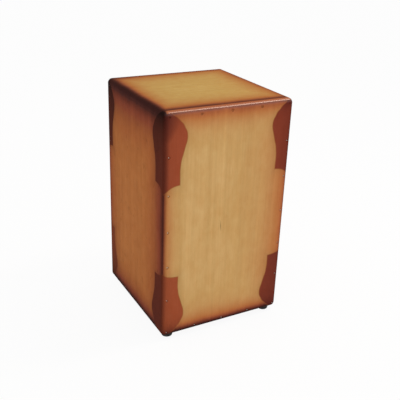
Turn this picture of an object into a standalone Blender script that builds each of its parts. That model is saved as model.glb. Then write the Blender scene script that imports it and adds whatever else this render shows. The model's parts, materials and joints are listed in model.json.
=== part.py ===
"""A flamenco cajon: a tall box drum that the player sits on.

Four thick boards make the box, a thin struck front (the tapa) is screwed over its open front, and
a back panel with a round sound hole closes the rear. Behind the tapa run two wound guitar strings.
Each one starts at a bead behind the anchor bar, crosses the bridge and winds on the post of its
own open-geared tuning machine, which a hand reaches through the sound hole.

Metres, +Z up. The tapa faces -Y and the sound hole faces +Y. The origin is on the ground, under
the middle of the box.
"""
import math

import bmesh
import bpy
from mathutils import Matrix, Vector

# The box
BODY_WIDTH = 0.288
BODY_DEPTH = 0.295
BODY_HEIGHT = 0.490
EDGE_RADIUS = 0.010
EDGE_STEPS = 5
SIDE_THICKNESS = 0.015
SEAT_THICKNESS = 0.015
BASE_THICKNESS = 0.015
TAPA_THICKNESS = 0.003
BACK_THICKNESS = 0.006
GAP = 0.0003  # left between pieces that touch
OVERCUT = 0.002  # how far a block or a cutter runs past the face that it is cut at or through

# The sound hole in the back
HOLE_DIAMETER = 0.120
HOLE_LIFT = 0.007  # of its centre above the middle of the box
HOLE_ROUNDING = 0.002
HOLE_STEPS = 48

# The blocks glued along the four inner corners of the box
BLOCK_LEG = 0.018
BLOCK_CHAMFER = 0.010
BLOCK_SETBACK = 0.022  # from the tapa, which must be free to shake

# The rubber feet
FOOT_HEIGHT = 0.010
FOOT_RADIUS = 0.013
FOOT_TAPER = 0.0015
FOOT_EASE = 0.0015
FOOT_INSET = 0.021
CORNERS = ("front_left", "front_right", "rear_right", "rear_left")
FOOT_FLOOR = 0.0032  # rubber and washer left above the recess, under the base
FOOT_RECESS_CLEARANCE = 0.0009  # round the head of the screw

# Screws: the radius of the head, its height, the radius and the length of the shank
TAPA_SCREW = (0.0029, 0.0017, 0.0014, 0.016)
FOOT_SCREW = (0.0040, 0.0024, 0.0017, 0.011)
PLATE_SCREW = (0.0019, 0.0012, 0.0009, 0.008)
GEAR_SCREW = (0.0027, 0.0013, 0.0008, 0.0035)
PAN_CROWN = 0.7  # share of a pan head's radius that its flat top takes
PAN_RIM = 0.5  # share of a pan head's height that its upright rim takes
TAPA_SCREW_INSET = 0.0095
TAPA_SCREW_SINK = 0.0007
TAPA_SCREWS_UP = 7
TAPA_SCREWS_ACROSS = 5

# The three bars that run from side to side behind the tapa: depth and height
ANCHOR_BAR = (0.014, 0.014)
BRIDGE = (0.010, 0.012)
TUNER_BAR = (0.018, 0.030)
ANCHOR_DROP = 0.030  # from the seat's underside to the middle of the anchor bar
BRIDGE_DROP = 0.024  # from the sound hole's centre to the middle of the bridge
TUNER_BAR_DROP = 0.056  # from the middle of the bridge to the middle of the tuner bar
BRIDGE_ROUNDING = 0.002
BAR_EASE = 0.001

# The strings
STRING_RADIUS = 0.0005
STRING_BEND = 0.002
ANCHOR_SPREAD = 0.062
TURNS_ON_POST = 3.25
TURN_GAP = 0.0006  # between one turn and the next
NEIGHBOUR_SPAN = 8  # radii along a string within which it can't meet itself
BEAD_RADIUS = 0.0022
BEAD_WAIST = 0.0016
BEAD_LENGTH = 0.004
BEAD_RIM = 0.0006

# The tuning machines
TUNER_SPREAD = 0.034
TUNER_LIFT = 0.003  # of the post above the middle of its bar
POST_RADIUS = 0.003
POST_EASE = 0.0005
POST_TIP_CLEARANCE = 0.004  # from the tapa
POST_LEAD = 0.003  # from the post's tip to the string's first turn
POST_TAIL = 0.0014  # from the string's last turn to the bush
POST_EYE_RADIUS = 0.0008
BUSH_WALL = 0.0011
BUSH_LIP = 0.0008  # of the flange, beyond the sleeve
BUSH_FLANGE = 0.0010
BUSH_SLEEVE = 0.0060
PLATE_THICKNESS = 0.001
PLATE_HEIGHT = 0.024
PLATE_MARGIN = 0.0020
PLATE_CORNER = 0.0015
EAR_THICKNESS = 0.0012
EAR_HALF_WIDTH = 0.0028
PLATE_SCREW_RISE = 0.0092

# The worm and its gear
GEAR_TEETH = 14
GEAR_THICKNESS = 0.0024
WORM_PITCH = 0.0025
WORM_PITCH_RADIUS = 0.0025
WORM_LENGTH = 0.009
WORM_CLEARANCE = 0.00085  # from the plate
BACKLASH = 0.0002  # on each flank
PRESSURE_ANGLE = math.radians(20)
SHAFT_RADIUS = 0.0015
RIVET_LIP = 0.0007  # of the shaft's riveted end, beyond the shaft
RIVET_HEIGHT = 0.0010
SHAFT_CLEAR = 0.0090  # from the upper ear to the button
SHAFT_SEAT = 0.0070  # how far the shaft enters the button
BUTTON_HALVES = (0.0070, 0.0028, 0.0085)
BUTTON_NECK_WALL = 0.0006
BUTTON_NECK_HEIGHT = 0.0030

# How finely round forms are divided
ROUND_STEPS = 20
SHAFT_STEPS = 16
SCREW_STEPS = 10
CORNER_STEPS = 3
BEND_STEPS = 4
LOOP_POINTS = 24  # in each turn of a string
RINGS_PER_TURN = 10  # of the worm
FLANK_STEPS = 4

# Finishes: colour, roughness and metallic value
HONEY_PLY = ((0.52, 0.30, 0.11), 0.32, 0.0)
SPRUCE = ((0.66, 0.48, 0.28), 0.65, 0.0)
BEECH = ((0.55, 0.34, 0.18), 0.55, 0.0)
BLACK_RUBBER = ((0.02, 0.02, 0.02), 0.85, 0.0)
BRIGHT_STEEL = ((0.62, 0.61, 0.58), 0.30, 1.0)
NICKEL = ((0.66, 0.64, 0.60), 0.25, 1.0)
BRASS = ((0.72, 0.53, 0.22), 0.30, 1.0)
WOUND_BRONZE = ((0.60, 0.42, 0.24), 0.38, 1.0)
IVORY_PLASTIC = ((0.80, 0.75, 0.62), 0.35, 0.0)

# Places that follow from the sizes
BODY_TOP = FOOT_HEIGHT + BODY_HEIGHT
BODY_MIDDLE = FOOT_HEIGHT + BODY_HEIGHT / 2
FRONT = -BODY_DEPTH / 2
REAR = BODY_DEPTH / 2
TAPA_REAR = FRONT + TAPA_THICKNESS
BACK_FRONT = REAR - BACK_THICKNESS
SIDE_INNER = BODY_WIDTH / 2 - SIDE_THICKNESS
HOUSING_DEPTH = SIDE_THICKNESS - TAPA_SCREW_INSET - TAPA_SCREW[2] - 3 * GAP  # short of the screws
BASE_UPPER = FOOT_HEIGHT + BASE_THICKNESS
SEAT_UNDER = BODY_TOP - SEAT_THICKNESS
HOLE_HEIGHT = BODY_MIDDLE + HOLE_LIFT
ANCHOR_HEIGHT = SEAT_UNDER - ANCHOR_DROP
BRIDGE_HEIGHT = HOLE_HEIGHT - BRIDGE_DROP
TUNER_BAR_HEIGHT = BRIDGE_HEIGHT - TUNER_BAR_DROP
TUNER_HEIGHT = TUNER_BAR_HEIGHT + TUNER_LIFT
STRING_PLANE = TAPA_REAR + GAP + STRING_RADIUS  # the strings lie along the tapa
PRESS_FACE = STRING_PLANE + STRING_RADIUS + GAP  # the front of the bars that press them there
TURN_PITCH = 2 * STRING_RADIUS + TURN_GAP
POST_TIP = TAPA_REAR + POST_TIP_CLEARANCE
FIRST_TURN = POST_TIP + POST_LEAD
LAST_TURN = FIRST_TURN + TURNS_ON_POST * TURN_PITCH
POST_BORE = POST_RADIUS + GAP
POST_STUB = 1.1 * POST_RADIUS  # the side of the square end that carries the gear
SLEEVE_RADIUS = POST_BORE + BUSH_WALL
TUNER_BAR_FRONT = LAST_TURN + STRING_RADIUS + POST_TAIL + BUSH_FLANGE
TUNER_BAR_REAR = TUNER_BAR_FRONT + TUNER_BAR[0]
PLATE_FRONT = TUNER_BAR_REAR + GAP
PLATE_REAR = PLATE_FRONT + PLATE_THICKNESS
ADDENDUM = 0.26 * WORM_PITCH
DEDENDUM = 0.34 * WORM_PITCH
GEAR_PLANE = PLATE_REAR + WORM_CLEARANCE + ADDENDUM + WORM_PITCH_RADIUS
GEAR_PITCH_RADIUS = GEAR_TEETH * WORM_PITCH / (2 * math.pi)
CENTRE_DISTANCE = GEAR_PITCH_RADIUS + WORM_PITCH_RADIUS
GEAR_SEAT = GEAR_THICKNESS / 2 + GAP  # where the gear's screw and the post's shoulder stop it
SHAFT_BORE = SHAFT_RADIUS + GAP
EAR_INNER = WORM_LENGTH / 2 + GAP
EAR_OUTER = EAR_INNER + EAR_THICKNESS
SHAFT_RISE = EAR_OUTER + SHAFT_CLEAR  # from the worm's middle to the button
TO_REAR = Matrix.Rotation(-math.pi / 2, 4, "X")  # turns local +Z to +Y
TO_FRONT = Matrix.Rotation(math.pi / 2, 4, "X")  # turns local +Z to -Y


def clear_scene():
    for obj in list(bpy.data.objects):
        bpy.data.objects.remove(obj, do_unlink=True)


def new_collection(name):
    made = bpy.data.collections.new(name)
    bpy.context.scene.collection.children.link(made)
    return made


clear_scene()
CAJON = new_collection("flamenco_cajon")
CUTTERS = new_collection("cutters")


def painted(obj, finish):
    """Give the object a material of its own, or the one that its shared mesh already has."""
    if obj.data.materials:
        return
    colour, roughness, metallic = finish
    material = bpy.data.materials.new(obj.name)
    material.use_nodes = True
    shader = material.node_tree.nodes["Principled BSDF"]
    shader.inputs["Base Color"].default_value = (*colour, 1.0)
    shader.inputs["Roughness"].default_value = roughness
    shader.inputs["Metallic"].default_value = metallic
    obj.data.materials.append(material)


def added(name, data, finish=None, place=Matrix.Identity(4), parent=None):
    """Put mesh or curve data into the scene: a part if it has a finish, else a cutter."""
    obj = bpy.data.objects.new(name, data)
    obj.parent = parent
    obj.matrix_local = place
    if finish:
        CAJON.objects.link(obj)
        painted(obj, finish)
    else:
        CUTTERS.objects.link(obj)
        obj.hide_render = True
        obj.display_type = "WIRE"
    return obj


def mesh_from(name, bm):
    bmesh.ops.recalc_face_normals(bm, faces=bm.faces)
    mesh = bpy.data.meshes.new(name)
    bm.to_mesh(mesh)
    bm.free()
    return mesh


def smoothed(mesh, degrees=40):
    mesh.shade_smooth()
    mesh.set_sharp_from_angle(angle=math.radians(degrees))
    return mesh


def box(name, low, high, finish=None, parent=None, eased=None, radius=0.0, steps=1):
    """A block between two corners. The edges that eased(edge) picks are rounded or chamfered."""
    low = Vector(low)
    high = Vector(high)
    bm = bmesh.new()
    bmesh.ops.create_cube(bm, size=1.0)
    bmesh.ops.scale(bm, vec=high - low, verts=bm.verts)
    if eased:
        edges = [edge for edge in bm.edges if eased(edge)]
        bmesh.ops.bevel(bm, geom=edges, offset=radius, segments=steps, profile=0.5, affect="EDGES")
    place = Matrix.Translation((low + high) / 2)
    return added(name, mesh_from(name, bm), finish, place, parent)


def along(axis):
    """Picks the edges of a block that run along one axis."""
    return lambda edge: abs((edge.verts[0].co - edge.verts[1].co).normalized()[axis]) > 0.9


def turned(name, profile, steps, finish=None, place=Matrix.Identity(4), parent=None, bored=False):
    """A turned piece. Its profile (radius, height) runs down the outer side, top to bottom.

    A bored profile then climbs the bore and closes on its first point. A solid one starts and
    ends on the axis.
    """
    count = len(profile)
    edges = [(i, i + 1) for i in range(count - 1)]
    if bored:
        edges.append((count - 1, 0))
    mesh = bpy.data.meshes.new(name)
    mesh.from_pydata([(radius, 0, height) for radius, height in profile], edges, [])
    obj = added(name, mesh, finish, place, parent)
    screw = obj.modifiers.new("turn", "SCREW")
    screw.axis = "Z"
    screw.angle = 2 * math.pi
    screw.steps = steps
    screw.render_steps = steps
    screw.use_merge_vertices = True
    screw.merge_threshold = 0.00001
    screw.use_smooth_shade = True
    return obj


def drawn_out(name, sections, finish, place, parent):
    """A solid drawn out along Z through sections (height, outline) with as many points each."""
    bm = bmesh.new()
    order = bm.verts.layers.int.new("order")
    height, outline = sections[0]
    ring = [bm.verts.new((x, y, height)) for x, y in outline]
    for index, vert in enumerate(ring):
        vert[order] = index
    cap = bm.faces.new(ring)
    passed = []
    for height, outline in sections[1:]:
        drawn = bmesh.ops.extrude_face_region(bm, geom=[cap])["geom"]
        passed.append(cap)
        cap = next(item for item in drawn if isinstance(item, bmesh.types.BMFace))
        for vert in cap.verts:
            x, y = outline[vert[order]]
            vert.co = (x, y, height)
    inner = [face for face in passed[1:] if face.is_valid]
    bmesh.ops.delete(bm, geom=inner, context="FACES_ONLY")
    return added(name, smoothed(mesh_from(name, bm)), finish, place, parent)


def boolean(obj, other, operation="DIFFERENCE"):
    modifier = obj.modifiers.new(other.name, "BOOLEAN")
    modifier.operation = operation
    modifier.solver = "EXACT"
    modifier.object = other


def frozen(obj):
    """The object's finished mesh, without the object."""
    graph = bpy.context.evaluated_depsgraph_get()
    mesh = bpy.data.meshes.new_from_object(obj.evaluated_get(graph))
    bpy.data.objects.remove(obj, do_unlink=True)
    return mesh


def copies(names, unit, places, finish, parent=None):
    """A part for each place, all with the same mesh."""
    smoothed(unit)
    for name, place in zip(names, places, strict=True):
        added(name, unit, finish, place, parent)


def cutters_at(name, unit, places, parent=None):
    """One cutter that holds a copy of the unit mesh at each place."""
    bm = bmesh.new()
    for place in places:
        before = len(bm.verts)
        bm.from_mesh(unit)
        bm.verts.ensure_lookup_table()
        bmesh.ops.transform(bm, matrix=place, verts=bm.verts[before:])
    return added(name, mesh_from(name, bm), None, Matrix.Identity(4), parent)


def arc(centre, radius, start, end, steps):
    """Points on an arc, from one angle in degrees to another."""
    points = []
    for step in range(steps + 1):
        angle = math.radians(start + (end - start) * step / steps)
        points.append((centre[0] + radius * math.cos(angle), centre[1] + radius * math.sin(angle)))
    return points


def spaced(reach, count):
    """Evenly spaced places from -reach to +reach."""
    return [reach * (2 * index / (count - 1) - 1) for index in range(count)]


# Screws and the holes that they sit in


def drilled(name, radius, top, bottom, steps, place=Matrix.Identity(4), parent=None):
    """A plain round pin, as the cutter for a hole or the form that is joined to a piece."""
    profile = [(0, top), (radius, top), (radius, bottom), (0, bottom)]
    return turned(name, profile, steps, None, place, parent)


def flat_screw(size):
    """A countersunk screw whose head is flush with height 0."""
    head, depth, shank, length = size
    profile = [(0, 0), (head, 0), (shank, -depth), (shank, shank - length), (0, -length)]
    return turned("screw", profile, SCREW_STEPS)


def flat_screw_hole(size, sink):
    """The cutter for a countersunk screw that sits below the surface, which is at height sink."""
    head, depth, shank, length = size
    profile = [
        (0, sink + OVERCUT),
        (head + GAP, sink + OVERCUT),
        (head + GAP, 0),
        (shank + GAP, -depth),
        (shank + GAP, -length - GAP),
        (0, -length - GAP),
    ]
    return turned("screw_hole", profile, SCREW_STEPS)


def pan_screw(size):
    """A pan-head screw whose head rests on height 0."""
    head, rise, shank, length = size
    profile = [
        (0, rise),
        (PAN_CROWN * head, rise),
        (head, PAN_RIM * rise),
        (head, 0),
        (shank, 0),
        (shank, shank - length),
        (0, -length),
    ]
    return turned("screw", profile, SCREW_STEPS)


def pilot(size):
    """The cutter for the shank of a pan-head screw, from above height 0."""
    _, _, shank, length = size
    return drilled("pilot_hole", shank + GAP, OVERCUT, -length - GAP, SCREW_STEPS)


def tapa_screw_places():
    """A row of screws along the top and the bottom of the tapa, and a column up each side."""
    side = BODY_WIDTH / 2 - TAPA_SCREW_INSET
    rise = BODY_HEIGHT / 2 - TAPA_SCREW_INSET
    spots = [(x, z) for x in spaced(side, TAPA_SCREWS_ACROSS) for z in (-rise, rise)]
    spots += [(x, z) for x in (-side, side) for z in spaced(rise, TAPA_SCREWS_UP)[1:-1]]
    depth = FRONT + TAPA_SCREW_SINK
    return [Matrix.Translation((x, depth, BODY_MIDDLE + z)) @ TO_FRONT for x, z in spots]


def foot_centres():
    x = BODY_WIDTH / 2 - FOOT_INSET
    y = BODY_DEPTH / 2 - FOOT_INSET
    return [(-x, -y), (x, -y), (x, y), (-x, y)]


def foot_screw_places():
    """Each foot's screw points up into the base, and its head is inside the foot."""
    seat = FOOT_HEIGHT - GAP - FOOT_FLOOR - GAP
    turn = Matrix.Rotation(math.pi, 4, "X")
    return [Matrix.Translation((x, y, seat)) @ turn for x, y in foot_centres()]


# The box


def rounded_envelope():
    """The outer form of the whole box, which rounds every board's outer edges alike."""
    low = (-BODY_WIDTH / 2, FRONT, FOOT_HEIGHT)
    high = (BODY_WIDTH / 2, REAR, BODY_TOP)
    envelope = box("rounded_envelope", low, high)
    bevel = envelope.modifiers.new("roundover", "BEVEL")
    bevel.width = EDGE_RADIUS
    bevel.segments = EDGE_STEPS
    return envelope


def bar_outlines():
    """Each bar's front, rear, underside and top."""
    outlines = {}
    for name, size, front, middle in (
        ("string_anchor_bar", ANCHOR_BAR, PRESS_FACE, ANCHOR_HEIGHT),
        ("string_bridge", BRIDGE, PRESS_FACE, BRIDGE_HEIGHT),
        ("tuner_bar", TUNER_BAR, TUNER_BAR_FRONT, TUNER_BAR_HEIGHT),
    ):
        depth, height = size
        outlines[name] = (front, front + depth, middle - height / 2, middle + height / 2)
    return outlines


def housings():
    """Cutters for the sockets that hold the bars' ends in the two sides."""
    made = []
    reach = SIDE_INNER + HOUSING_DEPTH
    for name, (front, rear, under, top) in bar_outlines().items():
        low = (-reach, front - GAP, under - GAP)
        high = (reach, rear + GAP, top + GAP)
        made.append(box(name + "_housing", low, high))
    return made


def build_box(envelope, tapa_holes, foot_pilots):
    """The four boards, the tapa and the back panel."""
    wide = BODY_WIDTH / 2 + OVERCUT
    under = FOOT_HEIGHT - OVERCUT
    over = BODY_TOP + OVERCUT
    front = TAPA_REAR + GAP
    rear = BACK_FRONT - GAP
    foot = BASE_UPPER + GAP
    head = SEAT_UNDER - GAP
    boards = {
        "seat": ((-wide, front, SEAT_UNDER), (wide, rear, over)),
        "base": ((-wide, front, under), (wide, rear, BASE_UPPER)),
        "left_side": ((-wide, front, foot), (-SIDE_INNER, rear, head)),
        "right_side": ((SIDE_INNER, front, foot), (wide, rear, head)),
    }
    sockets = housings()
    for name, (low, high) in boards.items():
        board = box(name, low, high, HONEY_PLY)
        boolean(board, envelope, "INTERSECT")
        boolean(board, tapa_holes)
        if name == "base":
            boolean(board, foot_pilots)
        if name.endswith("side"):
            for socket in sockets:
                boolean(board, socket)

    tapa = box("tapa", (-wide, FRONT - OVERCUT, under), (wide, TAPA_REAR, over), HONEY_PLY)
    boolean(tapa, envelope, "INTERSECT")
    boolean(tapa, tapa_holes)

    back = box("back_panel", (-wide, BACK_FRONT, under), (wide, REAR + OVERCUT, over), HONEY_PLY)
    boolean(back, envelope, "INTERSECT")
    boolean(back, sound_hole())


def sound_hole():
    """The cutter for the sound hole, flared at both faces so that the hole's rims are rounded."""
    radius = HOLE_DIAMETER / 2
    flared = radius + HOLE_ROUNDING
    half = BACK_THICKNESS / 2
    profile = [(0, half + OVERCUT), (flared, half + OVERCUT)]
    profile += arc((flared, half - HOLE_ROUNDING), HOLE_ROUNDING, 90, 180, CORNER_STEPS)
    profile += arc((flared, HOLE_ROUNDING - half), HOLE_ROUNDING, 180, 270, CORNER_STEPS)
    profile += [(flared, -half - OVERCUT), (0, -half - OVERCUT)]
    middle = (BACK_FRONT + REAR) / 2
    place = Matrix.Translation((0, middle, HOLE_HEIGHT)) @ TO_REAR
    return turned("sound_hole", profile, HOLE_STEPS, None, place)


def build_corner_blocks():
    """Blocks glued along the inner corners, with the edge that faces the chamber cut off."""
    front = TAPA_REAR + BLOCK_SETBACK
    rear = BACK_FRONT - GAP
    for side, x_sign in (("left", -1), ("right", 1)):
        for level, z_sign, wall in (("seat", 1, SEAT_UNDER), ("base", -1, BASE_UPPER)):
            outer = x_sign * (SIDE_INNER - GAP)
            inner = x_sign * (SIDE_INNER - GAP - BLOCK_LEG)
            near = wall - z_sign * GAP
            far = wall - z_sign * (GAP + BLOCK_LEG)
            low = (min(outer, inner), front, min(near, far))
            high = (max(outer, inner), rear, max(near, far))

            def faces_chamber(edge):
                middle = (edge.verts[0].co + edge.verts[1].co) / 2
                return along(1)(edge) and middle.x * x_sign < 0 and middle.z * z_sign < 0

            name = f"glue_block_{side}_{level}"
            box(name, low, high, SPRUCE, None, faces_chamber, BLOCK_CHAMFER)


def build_feet():
    """Four rubber feet, each with a recess for its screw's head."""
    top = FOOT_HEIGHT - GAP
    recess = top - FOOT_FLOOR
    head, _, shank, _ = FOOT_SCREW
    foot = FOOT_RADIUS - FOOT_TAPER
    bore = shank + GAP
    wide_bore = head + FOOT_RECESS_CLEARANCE
    profile = [
        (bore, top),
        (FOOT_RADIUS, top),
        (foot, FOOT_EASE),
        (foot - FOOT_EASE, 0),
        (wide_bore, 0),
        (wide_bore, recess),
        (bore, recess),
    ]
    for corner, (x, y) in zip(CORNERS, foot_centres()):
        place = Matrix.Translation((x, y, 0))
        turned(f"foot_{corner}", profile, ROUND_STEPS, BLACK_RUBBER, place, None, bored=True)


# What the strings pass and end at


def eyelet():
    """The cutter for a string's hole in the anchor bar, with a wide mouth at the front."""
    bore = STRING_RADIUS + GAP
    depth = ANCHOR_BAR[0]
    mouth = STRING_BEND + bore
    profile = [
        (0, OVERCUT),
        (mouth, OVERCUT),
        (mouth, 0),
        (bore, -STRING_BEND),
        (bore, -depth - OVERCUT),
        (0, -depth - OVERCUT),
    ]
    return turned("eyelet", profile, SCREW_STEPS)


def build_bars():
    """The anchor bar, the bridge and the tuner bar, housed in both sides."""
    reach = SIDE_INNER + HOUSING_DEPTH - GAP
    made = {}
    for name, (front, rear, under, top) in bar_outlines().items():
        rounding, steps = BAR_EASE, 1
        if name == "string_bridge":
            rounding, steps = BRIDGE_ROUNDING, CORNER_STEPS
        low = (-reach, front, under)
        high = (reach, rear, top)
        made[name] = box(name, low, high, BEECH, None, along(0), rounding, steps)
    places = []
    for x in (-ANCHOR_SPREAD, ANCHOR_SPREAD):
        places.append(Matrix.Translation((x, PRESS_FACE, ANCHOR_HEIGHT)) @ TO_FRONT)
    boolean(made["string_anchor_bar"], cutters_at("eyelets", frozen(eyelet()), places))
    return made


def build_bead(side, x):
    """The brass bead on the end of the string, which can't pass through the anchor bar."""
    bore = STRING_RADIUS + GAP
    half = BEAD_LENGTH / 2
    profile = [
        (bore, half),
        (BEAD_RADIUS, half),
        (BEAD_RADIUS, half - BEAD_RIM),
        (BEAD_WAIST, 0),
        (BEAD_RADIUS, BEAD_RIM - half),
        (BEAD_RADIUS, -half),
        (bore, -half),
    ]
    y = PRESS_FACE + ANCHOR_BAR[0] + GAP + half
    place = Matrix.Translation((x, y, ANCHOR_HEIGHT)) @ TO_FRONT
    turned(f"string_bead_{side}", profile, SCREW_STEPS, BRASS, place, None, bored=True)


def string_route(anchor_x, post_x):
    """The string's centre line: bead, anchor bar, tapa, bridge, and the turns on the post."""
    bend_end = ANCHOR_HEIGHT - STRING_BEND
    winding = POST_BORE + STRING_RADIUS
    bridge_under = BRIDGE_HEIGHT - BRIDGE[1] / 2

    # From the front, the straight run touches the right-hand side of the turns
    across = anchor_x - post_x
    up = bend_end - TUNER_HEIGHT
    touch = math.atan2(up, across) - math.acos(winding / math.hypot(across, up))
    end_x = post_x + winding * math.cos(touch)
    end_z = TUNER_HEIGHT + winding * math.sin(touch)

    def on_run(z):
        share = (bend_end - z) / (bend_end - end_z)
        return anchor_x + share * (end_x - anchor_x)

    bead_end = PRESS_FACE + ANCHOR_BAR[0] + GAP + BEAD_LENGTH
    points = [(anchor_x, bead_end, ANCHOR_HEIGHT)]
    bend = arc((STRING_PLANE + STRING_BEND, bend_end), STRING_BEND, 90, 180, BEND_STEPS)
    points += [(anchor_x, y, z) for y, z in bend]

    # Round the bridge's lower front edge, then straight back to the post
    fold = BRIDGE_ROUNDING + GAP + STRING_RADIUS
    centre = (STRING_PLANE + fold, bridge_under + BRIDGE_ROUNDING)
    slope = math.atan2(FIRST_TURN - STRING_PLANE, centre[1] - end_z)
    over_bridge = arc(centre, fold, 180, 180 + math.degrees(slope), CORNER_STEPS)
    points += [(on_run(z), y, z) for y, z in over_bridge]

    steps = round(TURNS_ON_POST * LOOP_POINTS)
    for step in range(steps + 1):
        angle = touch - 2 * math.pi * step / LOOP_POINTS
        y = FIRST_TURN + TURN_PITCH * step / LOOP_POINTS
        x = post_x + winding * math.cos(angle)
        z = TUNER_HEIGHT + winding * math.sin(angle)
        points.append((x, y, z))
    return points


def least_gap(points):
    """The least gap between parts of a string that are more than a few diameters apart along it."""
    vectors = [Vector(point) for point in points]
    travelled = [0.0]
    for before, after in zip(vectors, vectors[1:]):
        travelled.append(travelled[-1] + (after - before).length)
    least = math.inf
    for first in range(len(vectors)):
        for second in range(first + 1, len(vectors)):
            if travelled[second] - travelled[first] > NEIGHBOUR_SPAN * STRING_RADIUS:
                least = min(least, (vectors[second] - vectors[first]).length)
    return least - 2 * STRING_RADIUS


def build_string(side, anchor_x, post_x):
    """A wound string, one unbroken tube from its bead to its last turn on the post."""
    points = string_route(anchor_x, post_x)
    curve = bpy.data.curves.new(f"string_{side}", "CURVE")
    curve.dimensions = "3D"
    curve.bevel_depth = STRING_RADIUS
    curve.bevel_resolution = 1
    curve.use_fill_caps = True
    spline = curve.splines.new("POLY")
    spline.points.add(len(points) - 1)
    for point, place in zip(spline.points, points):
        point.co = (*place, 1.0)
    added(f"string_{side}", curve, WOUND_BRONZE)
    print(f"string_{side}: least gap to itself {1000 * least_gap(points):.2f} mm")


# The tuning machines, each placed by an empty where its post crosses the plane of its gear


def tuner_centre(side, x):
    centre = bpy.data.objects.new(f"{side}_tuner_centre", None)
    centre.location = (x, GEAR_PLANE, TUNER_HEIGHT)
    CAJON.objects.link(centre)
    return centre


def plate_screw_places():
    """The plate's two screws, above and below the gear, as the tuner's centre sees them."""
    depth = PLATE_REAR - GAP - GEAR_PLANE
    heights = (-PLATE_SCREW_RISE, PLATE_SCREW_RISE)
    return [Matrix.Translation((0, depth, z)) @ TO_REAR for z in heights]


def build_plate(side, centre):
    """The base plate, its two screws, and two ears that carry the worm's shaft."""
    rear = PLATE_REAR - GEAR_PLANE
    front = PLATE_FRONT - GEAR_PLANE
    half = PLATE_HEIGHT / 2
    low = (-GEAR_PITCH_RADIUS - PLATE_MARGIN, front, -half)
    high = (CENTRE_DISTANCE + EAR_HALF_WIDTH, rear, half)
    name = f"tuner_plate_{side}"
    plate = box(name, low, high, NICKEL, centre, along(1), PLATE_CORNER, CORNER_STEPS)
    screw = frozen(pan_screw(PLATE_SCREW))
    screws = cutters_at(f"plate_screws_{side}", screw, plate_screw_places(), centre)
    boolean(plate, screws, "UNION")
    for level, sign in (("lower", -1), ("upper", 1)):
        inner = sign * EAR_INNER
        outer = sign * EAR_OUTER
        root = rear - PLATE_THICKNESS / 2
        ear_low = (CENTRE_DISTANCE - EAR_HALF_WIDTH, root, min(inner, outer))
        ear_high = (CENTRE_DISTANCE + EAR_HALF_WIDTH, EAR_HALF_WIDTH, max(inner, outer))
        ear_name = f"{level}_ear_{side}"
        rounding = EAR_HALF_WIDTH / 2
        ear = box(ear_name, ear_low, ear_high, None, centre, rear_edges, rounding, CORNER_STEPS)
        boolean(plate, ear, "UNION")
    place = Matrix.Translation((CENTRE_DISTANCE, 0, 0))
    boolean(plate, drilled(f"ear_bore_{side}", SHAFT_BORE, half, -half, SHAFT_STEPS, place, centre))
    name = f"plate_bore_{side}"
    near = OVERCUT - front
    far = -rear - OVERCUT
    boolean(plate, drilled(name, POST_BORE, near, far, ROUND_STEPS, TO_FRONT, centre))


def rear_edges(edge):
    """The two upright edges of a block that are furthest to the rear."""
    return along(2)(edge) and edge.verts[0].co.y > 0


def post_bores(side, centre):
    """The cutter for the post and its bush: narrow through the bar, wide at the bar's front."""
    mouth = GEAR_PLANE - TUNER_BAR_FRONT
    step = mouth - BUSH_SLEEVE - GAP
    profile = [
        (0, mouth + OVERCUT),
        (SLEEVE_RADIUS + GAP, mouth + OVERCUT),
        (SLEEVE_RADIUS + GAP, step),
        (POST_BORE, step),
        (POST_BORE, 0),
        (0, 0),
    ]
    return turned(f"post_bore_{side}", profile, ROUND_STEPS, None, TO_FRONT, centre)


def build_bush(side, centre):
    """The flanged bush in the front of the bar, where the post comes out."""
    mouth = GEAR_PLANE - TUNER_BAR_FRONT
    flange = SLEEVE_RADIUS + BUSH_LIP
    profile = [
        (POST_BORE, mouth + GAP + BUSH_FLANGE),
        (flange, mouth + GAP + BUSH_FLANGE),
        (flange, mouth + GAP),
        (SLEEVE_RADIUS, mouth + GAP),
        (SLEEVE_RADIUS, mouth - BUSH_SLEEVE),
        (POST_BORE, mouth - BUSH_SLEEVE),
    ]
    turned(f"post_bush_{side}", profile, ROUND_STEPS, NICKEL, TO_FRONT, centre, bored=True)


def build_post(side, centre):
    """The post that the string winds on, with a square end for the gear and an eye near the tip."""
    tip = GEAR_PLANE - POST_TIP
    profile = [
        (0, tip),
        (POST_RADIUS - POST_EASE, tip),
        (POST_RADIUS, tip - POST_EASE),
        (POST_RADIUS, GEAR_SEAT),
        (0, GEAR_SEAT),
    ]
    post = turned(f"string_post_{side}", profile, ROUND_STEPS, NICKEL, TO_FRONT, centre)
    half = POST_STUB / 2
    low = (-half, -GEAR_SEAT - half, -half)
    high = (half, GEAR_THICKNESS / 2 - GAP, half)
    boolean(post, box(f"stub_{side}", low, high, None, centre), "UNION")
    hole = frozen(pilot(GEAR_SCREW))
    boolean(post, added(f"gear_screw_bore_{side}", hole, None, gear_screw_place(), centre))

    reach = POST_RADIUS + OVERCUT
    place = Matrix.Translation((0, LAST_TURN - GEAR_PLANE, 0))
    name = f"post_eye_{side}"
    boolean(post, drilled(name, POST_EYE_RADIUS, reach, -reach, SCREW_STEPS, place, centre))


def gear_screw_place():
    return Matrix.Translation((0, GEAR_SEAT, 0)) @ TO_REAR


def build_gear_screw(side, centre):
    """The screw that holds the gear on the post."""
    mesh = smoothed(frozen(pan_screw(GEAR_SCREW)))
    added(f"gear_screw_{side}", mesh, BRIGHT_STEEL, gear_screw_place(), centre)


def tooth_width():
    """The width of a gear tooth and of the worm's thread at the pitch line."""
    return WORM_PITCH / 2 - BACKLASH


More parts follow.
